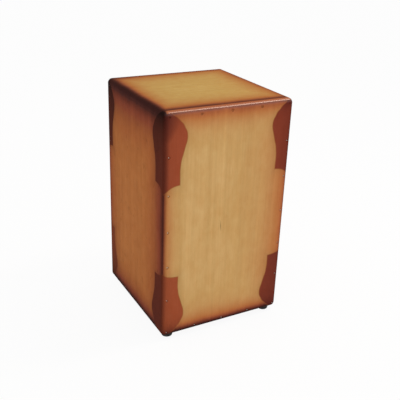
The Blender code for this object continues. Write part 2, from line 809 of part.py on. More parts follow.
def gear_outline(turn):
    """The gear's teeth, with involute flanks, turned by an angle."""

    def involute(angle):
        return math.tan(angle) - angle

    base = GEAR_PITCH_RADIUS * math.cos(PRESSURE_ANGLE)
    outer = GEAR_PITCH_RADIUS + ADDENDUM
    root = GEAR_PITCH_RADIUS - DEDENDUM
    at_pitch = tooth_width() / (2 * GEAR_PITCH_RADIUS) + involute(PRESSURE_ANGLE)
    flank = [(root, at_pitch)]
    for radius in (base, GEAR_PITCH_RADIUS, outer):
        flank.append((radius, at_pitch - involute(math.acos(base / radius))))
    tooth = [(radius, -half) for radius, half in flank]
    tooth += [(radius, half) for radius, half in reversed(flank)]
    outline = []
    for index in range(GEAR_TEETH):
        middle = turn + 2 * math.pi * index / GEAR_TEETH
        for radius, angle in tooth:
            outline.append((radius * math.cos(middle + angle), radius * math.sin(middle + angle)))
    return outline


def build_gear(side, centre):
    """The gear on the post's square end, its teeth slanted to follow the worm's thread."""
    lead = math.atan(WORM_PITCH / (2 * math.pi * WORM_PITCH_RADIUS))
    sections = []
    for height in (-GEAR_THICKNESS / 2, 0, GEAR_THICKNESS / 2):
        turn = height * math.tan(lead) / GEAR_PITCH_RADIUS
        sections.append((height, gear_outline(turn)))
    gear = drawn_out(f"post_gear_{side}", sections, BRASS, TO_REAR, centre)
    half = POST_STUB / 2 + GAP
    low = (-half, -GEAR_THICKNESS, -half)
    high = (half, GEAR_THICKNESS, half)
    boolean(gear, box(f"gear_bore_{side}", low, high, None, centre))


def thread_section():
    """The worm's cross-section as (angle, radius), with its crest at angle 0."""
    outer = WORM_PITCH_RADIUS + ADDENDUM
    root = WORM_PITCH_RADIUS - DEDENDUM
    slope = math.tan(PRESSURE_ANGLE)

    def angle_at(radius):
        half_width = tooth_width() / 2 + (WORM_PITCH_RADIUS - radius) * slope
        return 2 * math.pi * half_width / WORM_PITCH

    crest = angle_at(outer)
    foot = angle_at(root)
    side = [(crest / 2, outer)]
    for step in range(FLANK_STEPS + 1):
        share = step / FLANK_STEPS
        side.append((crest + share * (foot - crest), outer + share * (root - outer)))
    side.append(((foot + math.pi) / 2, root))
    left = [(2 * math.pi - angle, radius) for angle, radius in reversed(side)]
    return [(0, outer)] + side + [(math.pi, root)] + left


def build_worm(side, centre):
    """The worm, its journals and its long upper shaft: one section drawn out and turned."""
    thread = thread_section()

    def section(height, radius=None):
        clamped = max(-WORM_LENGTH / 2, min(WORM_LENGTH / 2, height))
        turn = 2 * math.pi * clamped / WORM_PITCH
        points = []
        for angle, thread_radius in thread:
            reach = radius or thread_radius
            points.append((reach * math.cos(angle + turn), reach * math.sin(angle + turn)))
        return (height, points)

    half = WORM_LENGTH / 2
    rivet = -EAR_OUTER - GAP
    sections = [
        section(rivet - RIVET_HEIGHT, SHAFT_RADIUS + RIVET_LIP),
        section(rivet, SHAFT_RADIUS + RIVET_LIP),
        section(rivet, SHAFT_RADIUS),
        section(-half, SHAFT_RADIUS),
    ]
    rings = math.ceil(RINGS_PER_TURN * WORM_LENGTH / WORM_PITCH)
    for ring in range(rings + 1):
        sections.append(section(-half + WORM_LENGTH * ring / rings))
    sections.append(section(half, SHAFT_RADIUS))
    sections.append(section(SHAFT_RISE + SHAFT_SEAT, SHAFT_RADIUS))
    place = Matrix.Translation((CENTRE_DISTANCE, 0, 0))
    drawn_out(f"worm_shaft_{side}", sections, BRIGHT_STEEL, place, centre)


def build_button(side, centre):
    """The oval button that turns the worm, pressed on the shaft's upper end."""
    bm = bmesh.new()
    bmesh.ops.create_uvsphere(bm, u_segments=SHAFT_STEPS, v_segments=SCREW_STEPS, radius=1.0)
    bmesh.ops.scale(bm, vec=BUTTON_HALVES, verts=bm.verts)
    lift = SHAFT_RISE + BUTTON_NECK_HEIGHT - OVERCUT / 2 + BUTTON_HALVES[2]
    bmesh.ops.translate(bm, vec=(0, 0, lift), verts=bm.verts)
    place = Matrix.Translation((CENTRE_DISTANCE, 0, 0))
    name = f"tuner_button_{side}"
    button = added(name, smoothed(mesh_from(name, bm)), IVORY_PLASTIC, place, centre)

    neck = SHAFT_BORE + BUTTON_NECK_WALL
    top = SHAFT_RISE + 2 * BUTTON_NECK_HEIGHT
    name = f"button_neck_{side}"
    boolean(button, drilled(name, neck, top, SHAFT_RISE, SHAFT_STEPS, place, centre), "UNION")
    end = SHAFT_RISE + SHAFT_SEAT + GAP
    start = SHAFT_RISE - OVERCUT
    name = f"button_bore_{side}"
    boolean(button, drilled(name, SHAFT_BORE, end, start, SHAFT_STEPS, place, centre))


def build_tuner(side, x, bar):
    centre = tuner_centre(side, x)
    boolean(bar, post_bores(side, centre))
    hole = frozen(pilot(PLATE_SCREW))
    boolean(bar, cutters_at(f"plate_pilots_{side}", hole, plate_screw_places(), centre))
    build_plate(side, centre)
    build_bush(side, centre)
    build_post(side, centre)
    build_gear(side, centre)
    build_gear_screw(side, centre)
    build_worm(side, centre)
    build_button(side, centre)


def build_cajon():
    tapa_places = tapa_screw_places()
    foot_places = foot_screw_places()
    hole = flat_screw_hole(TAPA_SCREW, TAPA_SCREW_SINK)
    tapa_holes = cutters_at("tapa_screw_holes", frozen(hole), tapa_places)
    foot_pilots = cutters_at("foot_screw_pilots", frozen(pilot(FOOT_SCREW)), foot_places)
    build_box(rounded_envelope(), tapa_holes, foot_pilots)
    names = [f"tapa_screw_{number + 1:02d}" for number in range(len(tapa_places))]
    copies(names, frozen(flat_screw(TAPA_SCREW)), tapa_places, BRIGHT_STEEL)
    build_corner_blocks()
    build_feet()
    names = [f"foot_screw_{corner}" for corner in CORNERS]
    copies(names, frozen(pan_screw(FOOT_SCREW)), foot_places, BRIGHT_STEEL)

    bars = build_bars()
    for side, sign in (("left", -1), ("right", 1)):
        build_bead(side, sign * ANCHOR_SPREAD)
        build_string(side, sign * ANCHOR_SPREAD, sign * TUNER_SPREAD)
        build_tuner(side, sign * TUNER_SPREAD, bars["tuner_bar"])


build_cajon()
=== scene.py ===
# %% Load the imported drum
import json
import math
from collections import namedtuple
from functools import partialmethod

import bmesh
import bpy
from mathutils import Matrix, Vector

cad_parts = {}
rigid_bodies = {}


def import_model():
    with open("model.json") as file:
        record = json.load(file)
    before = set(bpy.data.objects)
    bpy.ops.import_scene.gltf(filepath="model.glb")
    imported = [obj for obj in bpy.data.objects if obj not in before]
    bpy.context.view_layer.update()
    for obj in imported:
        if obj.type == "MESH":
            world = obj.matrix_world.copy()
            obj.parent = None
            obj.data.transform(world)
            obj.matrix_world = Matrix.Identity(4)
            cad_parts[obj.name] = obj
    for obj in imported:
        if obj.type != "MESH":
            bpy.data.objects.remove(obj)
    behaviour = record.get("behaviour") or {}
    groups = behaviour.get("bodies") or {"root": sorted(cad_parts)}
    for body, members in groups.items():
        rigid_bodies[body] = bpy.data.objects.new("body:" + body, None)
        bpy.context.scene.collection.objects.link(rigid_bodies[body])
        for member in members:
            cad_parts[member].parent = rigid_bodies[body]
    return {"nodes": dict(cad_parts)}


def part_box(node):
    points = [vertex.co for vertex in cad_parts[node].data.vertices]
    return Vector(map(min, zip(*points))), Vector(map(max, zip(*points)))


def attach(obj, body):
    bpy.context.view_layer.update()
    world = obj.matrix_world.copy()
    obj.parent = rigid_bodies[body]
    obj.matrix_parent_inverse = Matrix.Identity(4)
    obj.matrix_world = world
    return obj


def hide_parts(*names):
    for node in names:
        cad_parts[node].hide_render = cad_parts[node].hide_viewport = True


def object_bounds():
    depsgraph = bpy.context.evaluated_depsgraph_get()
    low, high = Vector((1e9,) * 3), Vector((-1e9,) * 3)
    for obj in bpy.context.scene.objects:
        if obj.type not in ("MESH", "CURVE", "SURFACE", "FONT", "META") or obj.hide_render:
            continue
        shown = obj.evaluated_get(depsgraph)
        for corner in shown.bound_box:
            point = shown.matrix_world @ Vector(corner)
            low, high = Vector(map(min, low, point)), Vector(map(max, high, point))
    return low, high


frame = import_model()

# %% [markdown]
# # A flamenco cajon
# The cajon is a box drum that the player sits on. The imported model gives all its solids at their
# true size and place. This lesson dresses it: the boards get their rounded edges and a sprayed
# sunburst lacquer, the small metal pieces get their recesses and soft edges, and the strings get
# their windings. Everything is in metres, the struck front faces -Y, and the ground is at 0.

cad_low, cad_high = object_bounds()
nodes = frame["nodes"]
MM = 0.001
print("solids:", [round(size / MM, 1) for size in cad_high - cad_low], "mm")

# %% [markdown]
# ## The view
# A camera is placed by what it looks at, how far off it stands and how it is turned. The picture
# was taken from a little above, to the left of the front, with the camera rolled by two degrees.
# Building its three axes by hand keeps the roll, which a tracking constraint would lose.

# %% Camera
AZIMUTH = math.radians(-29.16)
ELEVATION = math.radians(23.73)
ROLL = math.radians(2.13)
DISTANCE = 1.4628
LENS = 58.13
aim = Vector((0.0176, 0.0, 0.2395))

level = math.cos(ELEVATION)
back = Vector((math.sin(AZIMUTH) * level, -math.cos(AZIMUTH) * level, math.sin(ELEVATION)))
side = Vector((math.cos(AZIMUTH), math.sin(AZIMUTH), 0.0))
up = back.cross(side)
across = side * math.cos(ROLL) + up * math.sin(ROLL)
upward = up * math.cos(ROLL) - side * math.sin(ROLL)

bpy.ops.object.camera_add()
camera = bpy.context.object
camera.data.lens = LENS
axes = Matrix((across, upward, back)).transposed().to_4x4()
camera.matrix_world = Matrix.Translation(aim + back * DISTANCE) @ axes
bpy.context.scene.camera = camera
print("camera at", [round(value, 3) for value in camera.matrix_world.translation])

# %% [markdown]
# ## Shader maths in plain Python
# A pattern is easier to read as a formula than as a web of nodes. A Wire wraps one output socket,
# and each operator on it adds a Math node; a comparison gives 1 or 0. A Web is a node tree. Its
# add method puts in any other node, with its settings first and then the values or wires of its
# sockets. A Finish is the Web of one material.


# %% Wires
class Wire:
    """One output socket that takes part in arithmetic."""

    def __init__(self, web, socket):
        self.web = web
        self.socket = socket

    def maths(self, operation, *others):
        """A Math node whose first value is this wire."""
        return self.web.add("Math", {"operation": operation}, dict(enumerate((self, *others))))

    __add__ = __radd__ = partialmethod(maths, "ADD")
    __sub__ = partialmethod(maths, "SUBTRACT")
    __mul__ = __rmul__ = partialmethod(maths, "MULTIPLY")
    __truediv__ = partialmethod(maths, "DIVIDE")
    __gt__ = partialmethod(maths, "GREATER_THAN")
    __lt__ = partialmethod(maths, "LESS_THAN")
    __abs__ = partialmethod(maths, "ABSOLUTE")
    least = partialmethod(maths, "MINIMUM")
    most = partialmethod(maths, "MAXIMUM")

    def __rsub__(self, other):
        return self.maths("MULTIPLY_ADD", -1.0, other)


# %% Webs of nodes
class Web:
    """A node tree that formulas are written into."""

    def __init__(self, tree):
        self.tree = tree

    def add(self, kind, settings, values, output=0):
        node = self.tree.nodes.new("ShaderNode" + kind)
        for name, setting in settings.items():
            setattr(node, name, setting)
        for socket, value in values.items():
            self.join(node, socket, value)
        return Wire(self, node.outputs[output])

    def join(self, node, socket, value):
        if isinstance(value, Wire):
            self.tree.links.new(value.socket, node.inputs[socket])
        else:
            node.inputs[socket].default_value = value

    def outputs(self, kind, values):
        """Wires of all the outputs of a new node, by their names."""
        node = self.add(kind, {}, values).socket.node
        return {socket.name: Wire(self, socket) for socket in node.outputs}

    def ramp(self, value, stops, between="LINEAR"):
        """The colour that belongs to a value, from stops of (position, colour)."""
        found = self.add("ValToRGB", {}, {"Fac": value})
        ramp = found.socket.node.color_ramp
        ramp.interpolation = between
        for index, (position, colour) in enumerate(stops):
            new = index >= len(ramp.elements)
            stop = ramp.elements.new(position) if new else ramp.elements[index]
            stop.position = position
            stop.color = colour
        return found

    def mix(self, share, first, second, how="MIX"):
        settings = {"data_type": "RGBA", "blend_type": how, "clamp_factor": True}
        return self.add("Mix", settings, {0: share, 6: first, 7: second}, 2)

    def seen(self):
        """1 for rays of the camera, off mirrors and through glass, and 0 for all others."""
        path = self.outputs("LightPath", {})
        return path["Is Camera Ray"] + path["Is Glossy Ray"] + path["Is Transmission Ray"]


# %% Finishes
class Finish(Web):
    """One material being made up."""

    def __init__(self, name):
        self.material = bpy.data.materials.new(name)
        self.material.use_nodes = True
        super().__init__(self.material.node_tree)
        self.shader = self.tree.nodes["Principled BSDF"]
        self.place = self.add("TexCoord", {}, {}, "Object")

    def surface(self, **values):
        """Set or wire sockets of the shader, Base_Color for Base Color and so on."""
        for socket, value in values.items():
            self.join(self.shader, socket.replace("_", " "), value)
        return self.material

    def split(self, vector):
        return self.outputs("SeparateXYZ", {0: vector}).values()

    def moved(self, vector, stretch, shift=(0.0, 0.0, 0.0)):
        """A vector multiplied along each axis and then shifted."""
        values = {0: vector, 1: stretch, 2: shift}
        return self.add("VectorMath", {"operation": "MULTIPLY_ADD"}, values)

    def noise(self, vector, detail, rough):
        values = {"Vector": vector, "Scale": 1.0, "Detail": detail, "Roughness": rough}
        return self.add("TexNoise", {}, values)

    def cloud(self, fineness, detail=3.0, rough=0.6, shift=(0.0, 0.0, 0.0)):
        """Noise over the piece, as fine in every direction or with a fineness for each axis."""
        stretch = fineness if isinstance(fineness, tuple) else (fineness,) * 3
        return self.noise(self.moved(self.place, stretch, shift), detail, rough)

    def rising(self, value, none, full):
        """0 where the value is at none, 1 where it is at full, and even steps between."""
        return self.add("MapRange", {}, {"Value": value, "From Min": none, "From Max": full})

    def lit(self, colour, strength):
        """The colour made lighter or darker by a number that changes over the surface."""
        return self.add("VectorMath", {"operation": "SCALE"}, {0: colour, "Scale": strength})

    def tinted(self, colour, tint):
        return self.mix(1.0, colour, tint, "MULTIPLY")

    def bump(self, height, depth):
        return self.add("Bump", {}, {"Strength": 1.0, "Distance": depth, "Height": height})


# %% Colours
def tone(red, green, blue):
    """A colour from its three screen values, 0 to 255, as the shader wants it."""
    def linear(value):
        value /= 255
        return value / 12.92 if value <= 0.04045 else ((value + 0.055) / 1.055) ** 2.4
    return (linear(red), linear(green), linear(blue), 1.0)


def grey(value):
    return (value, value, value, 1.0)


print("white is", tone(255, 255, 255))

# %% [markdown]
# ## Light and background
# The picture shows the drum on plain white, with one soft light high on the right that draws a
# bright line along the rounded front edge. One lamp panel gives that line. The rest of the light
# comes from the world, evenly, so that a colour shows about as it is written. Rays from the camera,
# mirror rays and rays through glass see plain white instead, as in a studio.

# %% World
AMBIENT = 0.88
world = bpy.data.worlds.new("studio")
world.use_nodes = True
bpy.context.scene.world = world
sky = Web(world.node_tree)
sky_colour = sky.mix(sky.seen(), grey(AMBIENT), grey(1.0))
sky.join(sky.tree.nodes["Background"], "Color", sky_colour)
print("the world sends", AMBIENT, "and looks white")

# %% Lamp panel
PANEL_PLACE = Vector((0.77, -0.255, 1.783))
PANEL_SIZE = (0.7, 0.26)
PANEL_WATTS = 10.5
PANEL_COLOUR = (1.0, 0.87, 0.78)
edge_middle = Vector((0.0, cad_low.y, cad_high.z))
bpy.ops.object.light_add(type="AREA")
panel = bpy.context.object
panel.name = "lamp_panel"
panel.data.shape = "RECTANGLE"
panel.data.size, panel.data.size_y = PANEL_SIZE
panel.data.energy = PANEL_WATTS
panel.data.color = PANEL_COLOUR
away = (PANEL_PLACE - edge_middle).normalized()
long_way = (Vector((1, 0, 0)) - away * away.x).normalized()
turn = Matrix((long_way, away.cross(long_way), away)).transposed().to_4x4()
panel.matrix_world = Matrix.Translation(PANEL_PLACE) @ turn
print("panel", round((PANEL_PLACE - edge_middle).length, 2), "m from the front edge")

# %% [markdown]
# ## The sunburst
# The maker sprays a dark stain from every edge towards the middle, so a face runs from nearly
# black at its rim to honey yellow in its middle. Near an edge the stain fades as exp(-d / width),
# with d the distance from that edge. A face has such a fade from each edge, and the darkest wins.
# Over the corners lie reddish patches with a lobed outline, which were masked off and stained
# once more. All of it is worked out from the place on the drum, so one material serves every
# board, and a rounded edge blends the colours of the two faces by the direction it faces.

# %% The body, from its solids
back_low, back_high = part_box("back_panel")
body_low = Vector((cad_low.x, cad_low.y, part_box("base")[0].z))
body_high = Vector(cad_high)
BODY_WIDE, BODY_DEEP, BODY_TALL = (body_high - body_low) / MM
print(f"body: {BODY_WIDE:.1f} x {BODY_DEEP:.1f} x {BODY_TALL:.1f} mm")

# %% The stain from its darkest to its lightest, and the painted light and shade of each face
FRONT_RAMP = [
    (0.00, (50, 24, 23)), (0.10, (85, 40, 32)), (0.20, (118, 60, 43)), (0.30, (150, 83, 52)),
    (0.40, (170, 101, 60)), (0.50, (178, 115, 67)), (0.65, (184, 130, 80)),
    (0.80, (190, 145, 91)), (0.93, (192, 152, 96)), (1.00, (200, 162, 108)),
]
# Painted shade: the sides' stain is drawn darker than the front's, as a side in shade looks.
SHADED_SIDE_RAMP = [
    (0.00, (54, 25, 23)), (0.10, (71, 35, 31)), (0.20, (95, 45, 34)), (0.30, (115, 57, 42)),
    (0.40, (127, 65, 45)), (0.50, (136, 76, 48)), (0.60, (145, 84, 50)),
    (0.70, (152, 90, 53)), (0.80, (157, 97, 56)), (1.00, (166, 107, 63)),
]
# Painted light and shade: each face gets a tint that sets how light or dark it shows under the
# lamps.
FRONT_PAINTED_LIGHT = (1.16, 1.15, 1.14, 1.0)
SIDE_PAINTED_LIGHT = (1.21, 1.16, 1.02, 1.0)
TOP_PAINTED_LIGHT = (0.80, 0.83, 0.67, 1.0)
print("stops:", len(FRONT_RAMP), "and", len(SHADED_SIDE_RAMP))

# %% Fades of the stain
RIM_WIDTH = 2.2


def decay(distance, width):
    return (distance / -width).maths("EXPONENT")


def fade(distance, start, width, rim=0.0):
    """How much honey shows at that distance in mm from an edge: start at it, 1 far from it."""
    shown = 1.0 - decay(distance, width) * (1.0 - start)
    if rim:
        shown = shown * (1.0 - decay(distance, RIM_WIDTH) * rim)
    return shown


def past(distance, start, bend):
    """How far a distance goes past a start: 0 before it, with a soft bend between."""
    return (distance - start).maths("SMOOTH_MAX", 0.0, bend)


def darkest(fades):
    dark = fades[0]
    for other in fades[1:]:
        dark = dark.maths("SMOOTH_MIN", other, 0.1)
    return dark


# %% Lobed patches at the corners, as mm along the edge and mm in from it
LOBE = [(0, 12), (10, 24), (22, 36), (35, 44), (48, 48), (66, 45), (90, 38), (112, 34), (140, 34)]
LOBE_LONG = 160.0
LOBE_WIDE = 60.0


def lobes(finish, inward, along, length, tail):
    """Share of patch stain, and of the spray that drifted past the mask's edge.

    The place is in mm: inward from the upright edge, and along it from its end. The patch has a
    length, and its tail is how much longer it runs at the edge itself."""
    stops = [(far / LOBE_LONG, grey(wide / LOBE_WIDE)) for far, wide in LOBE]
    reach = finish.ramp(along / LOBE_LONG, stops, "CARDINAL") * LOBE_WIDE
    before = length + decay(inward, 11.0) * tail - along
    depth = (reach - inward).least(before)
    return depth * 0.8 + 0.5, decay(abs(depth.least(0.0)), 9.0)


# %% [markdown]
# ## Wood under the lacquer
# The veneer's grain runs upright on the front, back and sides, and from left to right on the top.
# Wood is drawn with noise that is stretched along the grain: wide bands, fine lines, and short
# pores that catch a little shadow. The same wood with no stain covers the inside of the box.


# %% Veneer
def veneer(finish, vector):
    """(light and dark over the wood, height of its pores) for a place stretched to the grain."""
    def layer(fineness, shift, detail, rough):
        return finish.noise(finish.moved(vector, (fineness,) * 3, (shift,) * 3), detail, rough)

    bands = layer(0.05, 3.1, 2.0, 0.5)
    figure = layer(0.16, 7.7, 3.0, 0.55)
    lines = layer(0.9, 1.3, 2.0, 0.6)
    pores = finish.rising(layer(2.2, 5.9, 1.0, 0.5), 0.36, 0.30)
    light = 1.0 + (bands - 0.5) * 0.14 + (figure - 0.5) * 0.14 + (lines - 0.5) * 0.10
    return light - pores * 0.07, pores


UPRIGHT = (1000.0, 1000.0, 18.0)
CROSSWISE = (18.0, 1000.0, 1000.0)


# %% A dark streak
STREAK_X = -14.0
STREAK_Z = 246.5
STREAK_HALF = 14.0


def streak(x, z):
    """One short mineral streak in the veneer of the front, 1 where it is darkest."""
    lean = (z - STREAK_Z) * 0.08
    aside = abs(x - STREAK_X + lean) * 0.8
    beyond = abs(z - STREAK_Z) / STREAK_HALF
    return (1.0 - aside.least(1.0)) * (1.0 - beyond.least(1.0))


def flecks(finish):
    """Soft dark flecks and clouds of the veneer of the sides, as a loss of light."""
    fleck = finish.cloud((150.0, 120.0, 75.0), 1.0, 0.5, (2.0, 8.0, 4.0))
    blot = finish.cloud((50.0, 50.0, 32.0), 2.0, 0.6, (9.0, 3.0, 1.0))
    return finish.rising(fleck, 0.66, 0.76) * 0.16 + (blot - 0.5) * 0.22


# %% Where a point of the drum is
LOWER_PATCHES = 200.0


class Point:
    """The place of the point that is shaded, and its distances from the box's faces, in mm."""

    def __init__(self, finish):
        x, y, z = (axis / MM for axis in finish.split(finish.place))
        self.x = x
        self.z = z
        self.left = x - body_low.x / MM
        self.right = body_high.x / MM - x
        self.front = y - body_low.y / MM
        self.rear = body_high.y / MM - y
        self.under = z - body_low.z / MM
        self.over = body_high.z / MM - z
        self.from_side = self.left.least(self.right)
        self.from_face = self.front.least(self.rear)
        self.from_end = self.under.least(self.over)
        self.behind = y > 0.0
        self.below = z < LOWER_PATCHES


# %% The bare burst
def burst(finish, at, spray):
    """The colour of each kind of face before the patches."""
    rear_corner = 1.0 - decay(at.left + at.rear, 45) * 0.9
    shares = {
        "front": [fade(at.left, 0.38, 20, 1.3), fade(at.right, 0.25, 52, 0.6),
                  fade(past(at.over, 14.0, 10.0), 0.40, 29) * (1.0 - decay(at.over, 5)),
                  fade(at.under, -0.3, 27, 0.3)],
        "side": [fade(at.over, -0.12, 68), fade(at.front, 0.0, 52),
                 fade(at.rear, 0.24, 35) * (1.0 - decay(at.rear, 5) * 2.0),
                 fade(at.under, -0.35, 34)],
        "top": [fade(at.left, -0.02, 28) * (1.0 - decay(at.left, 5) * 1.3) * rear_corner,
                fade(past(at.front, 16.0, 8.0), 0.13, 35), fade(at.right, 0.06, 38, 0.2),
                fade(at.rear, -0.06, 39, 0.3) * rear_corner],
        "back": [fade(at.from_side, 0.05, 40, 1.2), fade(at.over, 0.1, 42),
                 fade(at.under, 0.0, 36)],
    }
    colours = {}
    for face, fades in shares.items():
        ramp = SHADED_SIDE_RAMP if face == "side" else FRONT_RAMP
        stops = [(position, tone(*colour)) for position, colour in ramp]
        colours[face] = finish.ramp(darkest(fades) + spray, stops)
    return colours


# %% The patches over the burst
def patched(finish, at, colours):
    """The colours of front and back, and of the sides, with the patches and their drifted spray.

    On the front a patch is lighter to the left. On a side the lower rear patch is the lightest."""
    length = 146.0 - at.below * 6.5
    tail = 20.0 - at.below * 9.0
    on_face, face_drift = lobes(finish, at.from_side, at.from_end, length, tail)
    from_edge = at.from_face - 5.0 + at.behind * 9.0
    on_side, side_drift = lobes(finish, from_edge, at.from_end, length, tail)
    front = finish.lit(colours["front"], 1.0 - face_drift * 0.16)
    side = finish.lit(colours["side"], 1.0 - side_drift * (at.behind * 0.15 + 0.2))

    left_patch = finish.mix(at.below, tone(149, 73, 47), tone(153, 77, 48))
    right_patch = finish.mix(at.below, tone(118, 51, 36), tone(108, 48, 36))
    patch = finish.mix(at.left / BODY_WIDE, left_patch, right_patch)
    patch = finish.lit(patch, at.from_side * 0.003 + 0.94)
    reach = (60.0 - at.over).most(0.0) * 0.7 + 17.0
    shown = darkest([fade(at.from_side, at.below * 0.5, 5), fade(at.over, 0.05, 14),
                     fade(at.under, -0.3, 16), (at.left + at.below * 6.0 + 4.0) / reach])
    patch = finish.mix(shown, tone(62, 22, 24), patch)
    # Painted shade: the sides' patch colours are drawn darker too, as a side in shade looks.
    rear_patch = finish.mix((at.z - LOWER_PATCHES) / 180.0, tone(110, 54, 33), tone(74, 32, 22))
    rear_patch = finish.lit(rear_patch, fade(at.under, 0.1, 30))
    side_patch = finish.mix(at.front / BODY_DEEP * 1.6 - 0.5, tone(84, 37, 27), rear_patch)
    rim = darkest([fade(at.front, 0.45, 4), fade(at.over, -0.05, 40)])
    side_patch = finish.lit(side_patch, rim)

    seam = finish.rising(abs(on_face - 0.5), 1.3, 0.5) * 0.5
    front = finish.mix(seam, finish.mix(on_face, front, patch), tone(138, 80, 42))
    back = finish.mix(on_face, colours["back"], patch)
    return finish.mix(at.behind, front, back), finish.mix(on_side, side, side_patch)


# %% Where the player's legs rub, and a painted highlight on the seat's edge
def rubbed_and_sheen(finish, at, stain):
    """The stain, paler on the seat's front rounding: worn where the legs rub, and a painted
    highlight along the edge.
    """
    seat_edge = (at.over < 12.0) * fade((at.from_side - 5.0).most(0.0), 0.0, 3)
    # This pale band is partly wear and partly a painted highlight on the rounding.
    bare = (at.front * 2.0 - 5.2).least(3.4 - at.front * 0.25).most(0.0)
    return finish.mix(bare * seat_edge, stain, tone(155, 88, 52))


# %% Lacquer
def sunburst():
    finish = Finish("sunburst_lacquer")
    at = Point(finish)
    facing = finish.add("TexCoord", {}, {}, "Normal")
    # The squares of a direction's three parts add up to 1, so they serve as shares
    nx, ny, nz = (axis * axis for axis in finish.split(facing))
    level, upright = (finish.moved(finish.place, grain) for grain in (CROSSWISE, UPRIGHT))
    wood, pores = veneer(finish, finish.mix(nz < 0.5, level, upright))
    haze = finish.cloud((14.0, 14.0, 9.0))
    colours = burst(finish, at, (haze - 0.5) * 0.16 + (wood - 1.0) * 0.35)
    print("nodes in the bare burst:", len(finish.tree.nodes))

    faces, sides = patched(finish, at, colours)
    # Painted light and shade: each kind of face is made lighter or darker by its own tint.
    faces = finish.tinted(faces, FRONT_PAINTED_LIGHT)
    sides = finish.tinted(sides, SIDE_PAINTED_LIGHT)
    walls = finish.mix(ny / (nx + ny + 0.0001), sides, faces)
    ends = finish.mix(at.below, finish.tinted(colours["top"], TOP_PAINTED_LIGHT), tone(84, 44, 32))
    stain = rubbed_and_sheen(finish, at, finish.mix(nz, walls, ends))
    mottle = finish.cloud((70.0, 70.0, 42.0), shift=(5.0, 1.0, 2.0))
    warmer = finish.mix(mottle * 2.0 - 0.5, (1.03, 1.07, 1.10, 1.0), (0.97, 0.93, 0.88, 1.0))
    in_front = 1.0 - at.behind
    wood = wood - streak(at.x, at.z) * in_front * ny * 0.7 - flecks(finish) * nx
    polished = ny * nz * 4.0 * in_front * (1.0 - at.below)

    smear = finish.cloud(25.0, 2.0, 0.5)
    peel = finish.cloud(450.0, 1.0, 0.5)
    finish.surface(
        Base_Color=finish.lit(finish.tinted(stain, warmer), wood),
        Roughness=0.46 + (smear - 0.5) * 0.16,
        Specular_IOR_Level=0.0,
        Coat_Weight=0.05 + polished * 0.9,
        Coat_Roughness=0.28,
        Normal=finish.bump(peel * 0.25 - pores * 0.6, 0.00003),
    )
    print("nodes in the lacquer:", len(finish.tree.nodes))
    return finish.material


lacquer = sunburst()

# %% [markdown]
# ## Plain wood and ply edges
# Inside, the boards are bare birch ply. Where the ply is cut through, at the sound hole, its
# layers show as light and dark rings, because every second layer turns its end grain to us.


# %% Plain woods
def plain_wood(name, light, dark, grain, rough=0.6):
    """Unfinished wood between two colours. Its grain runs along the axis of the small number."""
    finish = Finish(name)
    wood, pores = veneer(finish, finish.moved(finish.place, grain))
    figure = finish.cloud(tuple(0.03 * fineness for fineness in grain))
    colour = finish.mix(figure, tone(*dark), tone(*light))
    dust = finish.cloud(60.0)
    return finish.surface(
        Base_Color=finish.lit(colour, wood * 1.6 - 0.6),
        Roughness=rough + (dust - 0.5) * 0.2,
        Specular_IOR_Level=0.3,
        Normal=finish.bump(wood - pores, 0.00006),
    )


def ply_layers():
    """The cut edge of the thin back panel: five layers through its thickness."""
    finish = Finish("ply_layers")
    depth = finish.outputs("SeparateXYZ", {0: finish.place})["Y"]
    layer = (depth - back_low.y) / ((back_high.y - back_low.y) / 5)
    turned = (layer.maths("PINGPONG", 1.0) - 0.5) * 9.0 + 0.5
    fibres = finish.cloud((900.0, 2500.0, 900.0), 2.0)
    colour = finish.mix(turned, tone(120, 78, 46), tone(186, 144, 98))
    return finish.surface(
        Base_Color=finish.lit(colour, 0.75 + fibres * 0.5),
        Roughness=0.7 - fibres * 0.2,
        Specular_IOR_Level=0.2,
        Normal=finish.bump(fibres, 0.00005),
    )


bare_ply = plain_wood("bare_birch", (214, 184, 140), (190, 152, 106), UPRIGHT)
ply_edge = ply_layers()
spruce = plain_wood("spruce", (224, 196, 148), (196, 158, 104), (900.0, 14.0, 900.0))
beech = plain_wood("beech", (204, 158, 116), (170, 120, 82), (14.0, 900.0, 900.0), 0.5)

# %% [markdown]
# ## Metals, rubber and plastic
# Each metal gets a colour, a metallic value of 1 and a roughness that wanders, because handled
# metal is never evenly bright. Rubber is nearly black and dull, with fine moulding marks. The
# buttons are an ivory plastic with a faint cloud in it and a soft polish.


# %% Metals
def metal(name, bright, dull, rough, fineness=400.0):
    """Metal between a bright and a dull colour, with brush marks of that fineness."""
    finish = Finish(name)
    film = finish.cloud(130.0)
    brush = finish.cloud(fineness, 2.0)
    return finish.surface(
        Base_Color=finish.mix(film, tone(*dull), tone(*bright)),
        Metallic=1.0,
        Roughness=rough + (film - 0.5) * 0.25 + (brush - 0.5) * 0.12,
        Normal=finish.bump(brush, 0.00001),
    )


zinc = metal("zinc_plate", (226, 225, 218), (190, 188, 178), 0.34)
nickel = metal("nickel_plate", (222, 216, 204), (176, 168, 152), 0.24, (90.0, 90.0, 2500.0))
steel = metal("worm_steel", (200, 198, 194), (140, 136, 130), 0.30, (90.0, 90.0, 3000.0))
brass = metal("brass", (222, 180, 98), (170, 124, 58), 0.28, (2500.0, 120.0, 2500.0))
bronze = metal("wound_bronze", (196, 142, 92), (140, 94, 58), 0.36, 900.0)


# %% Rubber and plastic
def rubber():
    finish = Finish("black_rubber")
    grain = finish.cloud(1800.0, 2.0)
    dust = finish.cloud(160.0)
    return finish.surface(
        Base_Color=finish.mix(dust, tone(22, 21, 20), tone(52, 49, 46)),
        Roughness=0.72 + (dust - 0.5) * 0.3,
        Specular_IOR_Level=0.3,
        Normal=finish.bump(grain, 0.00004),
    )


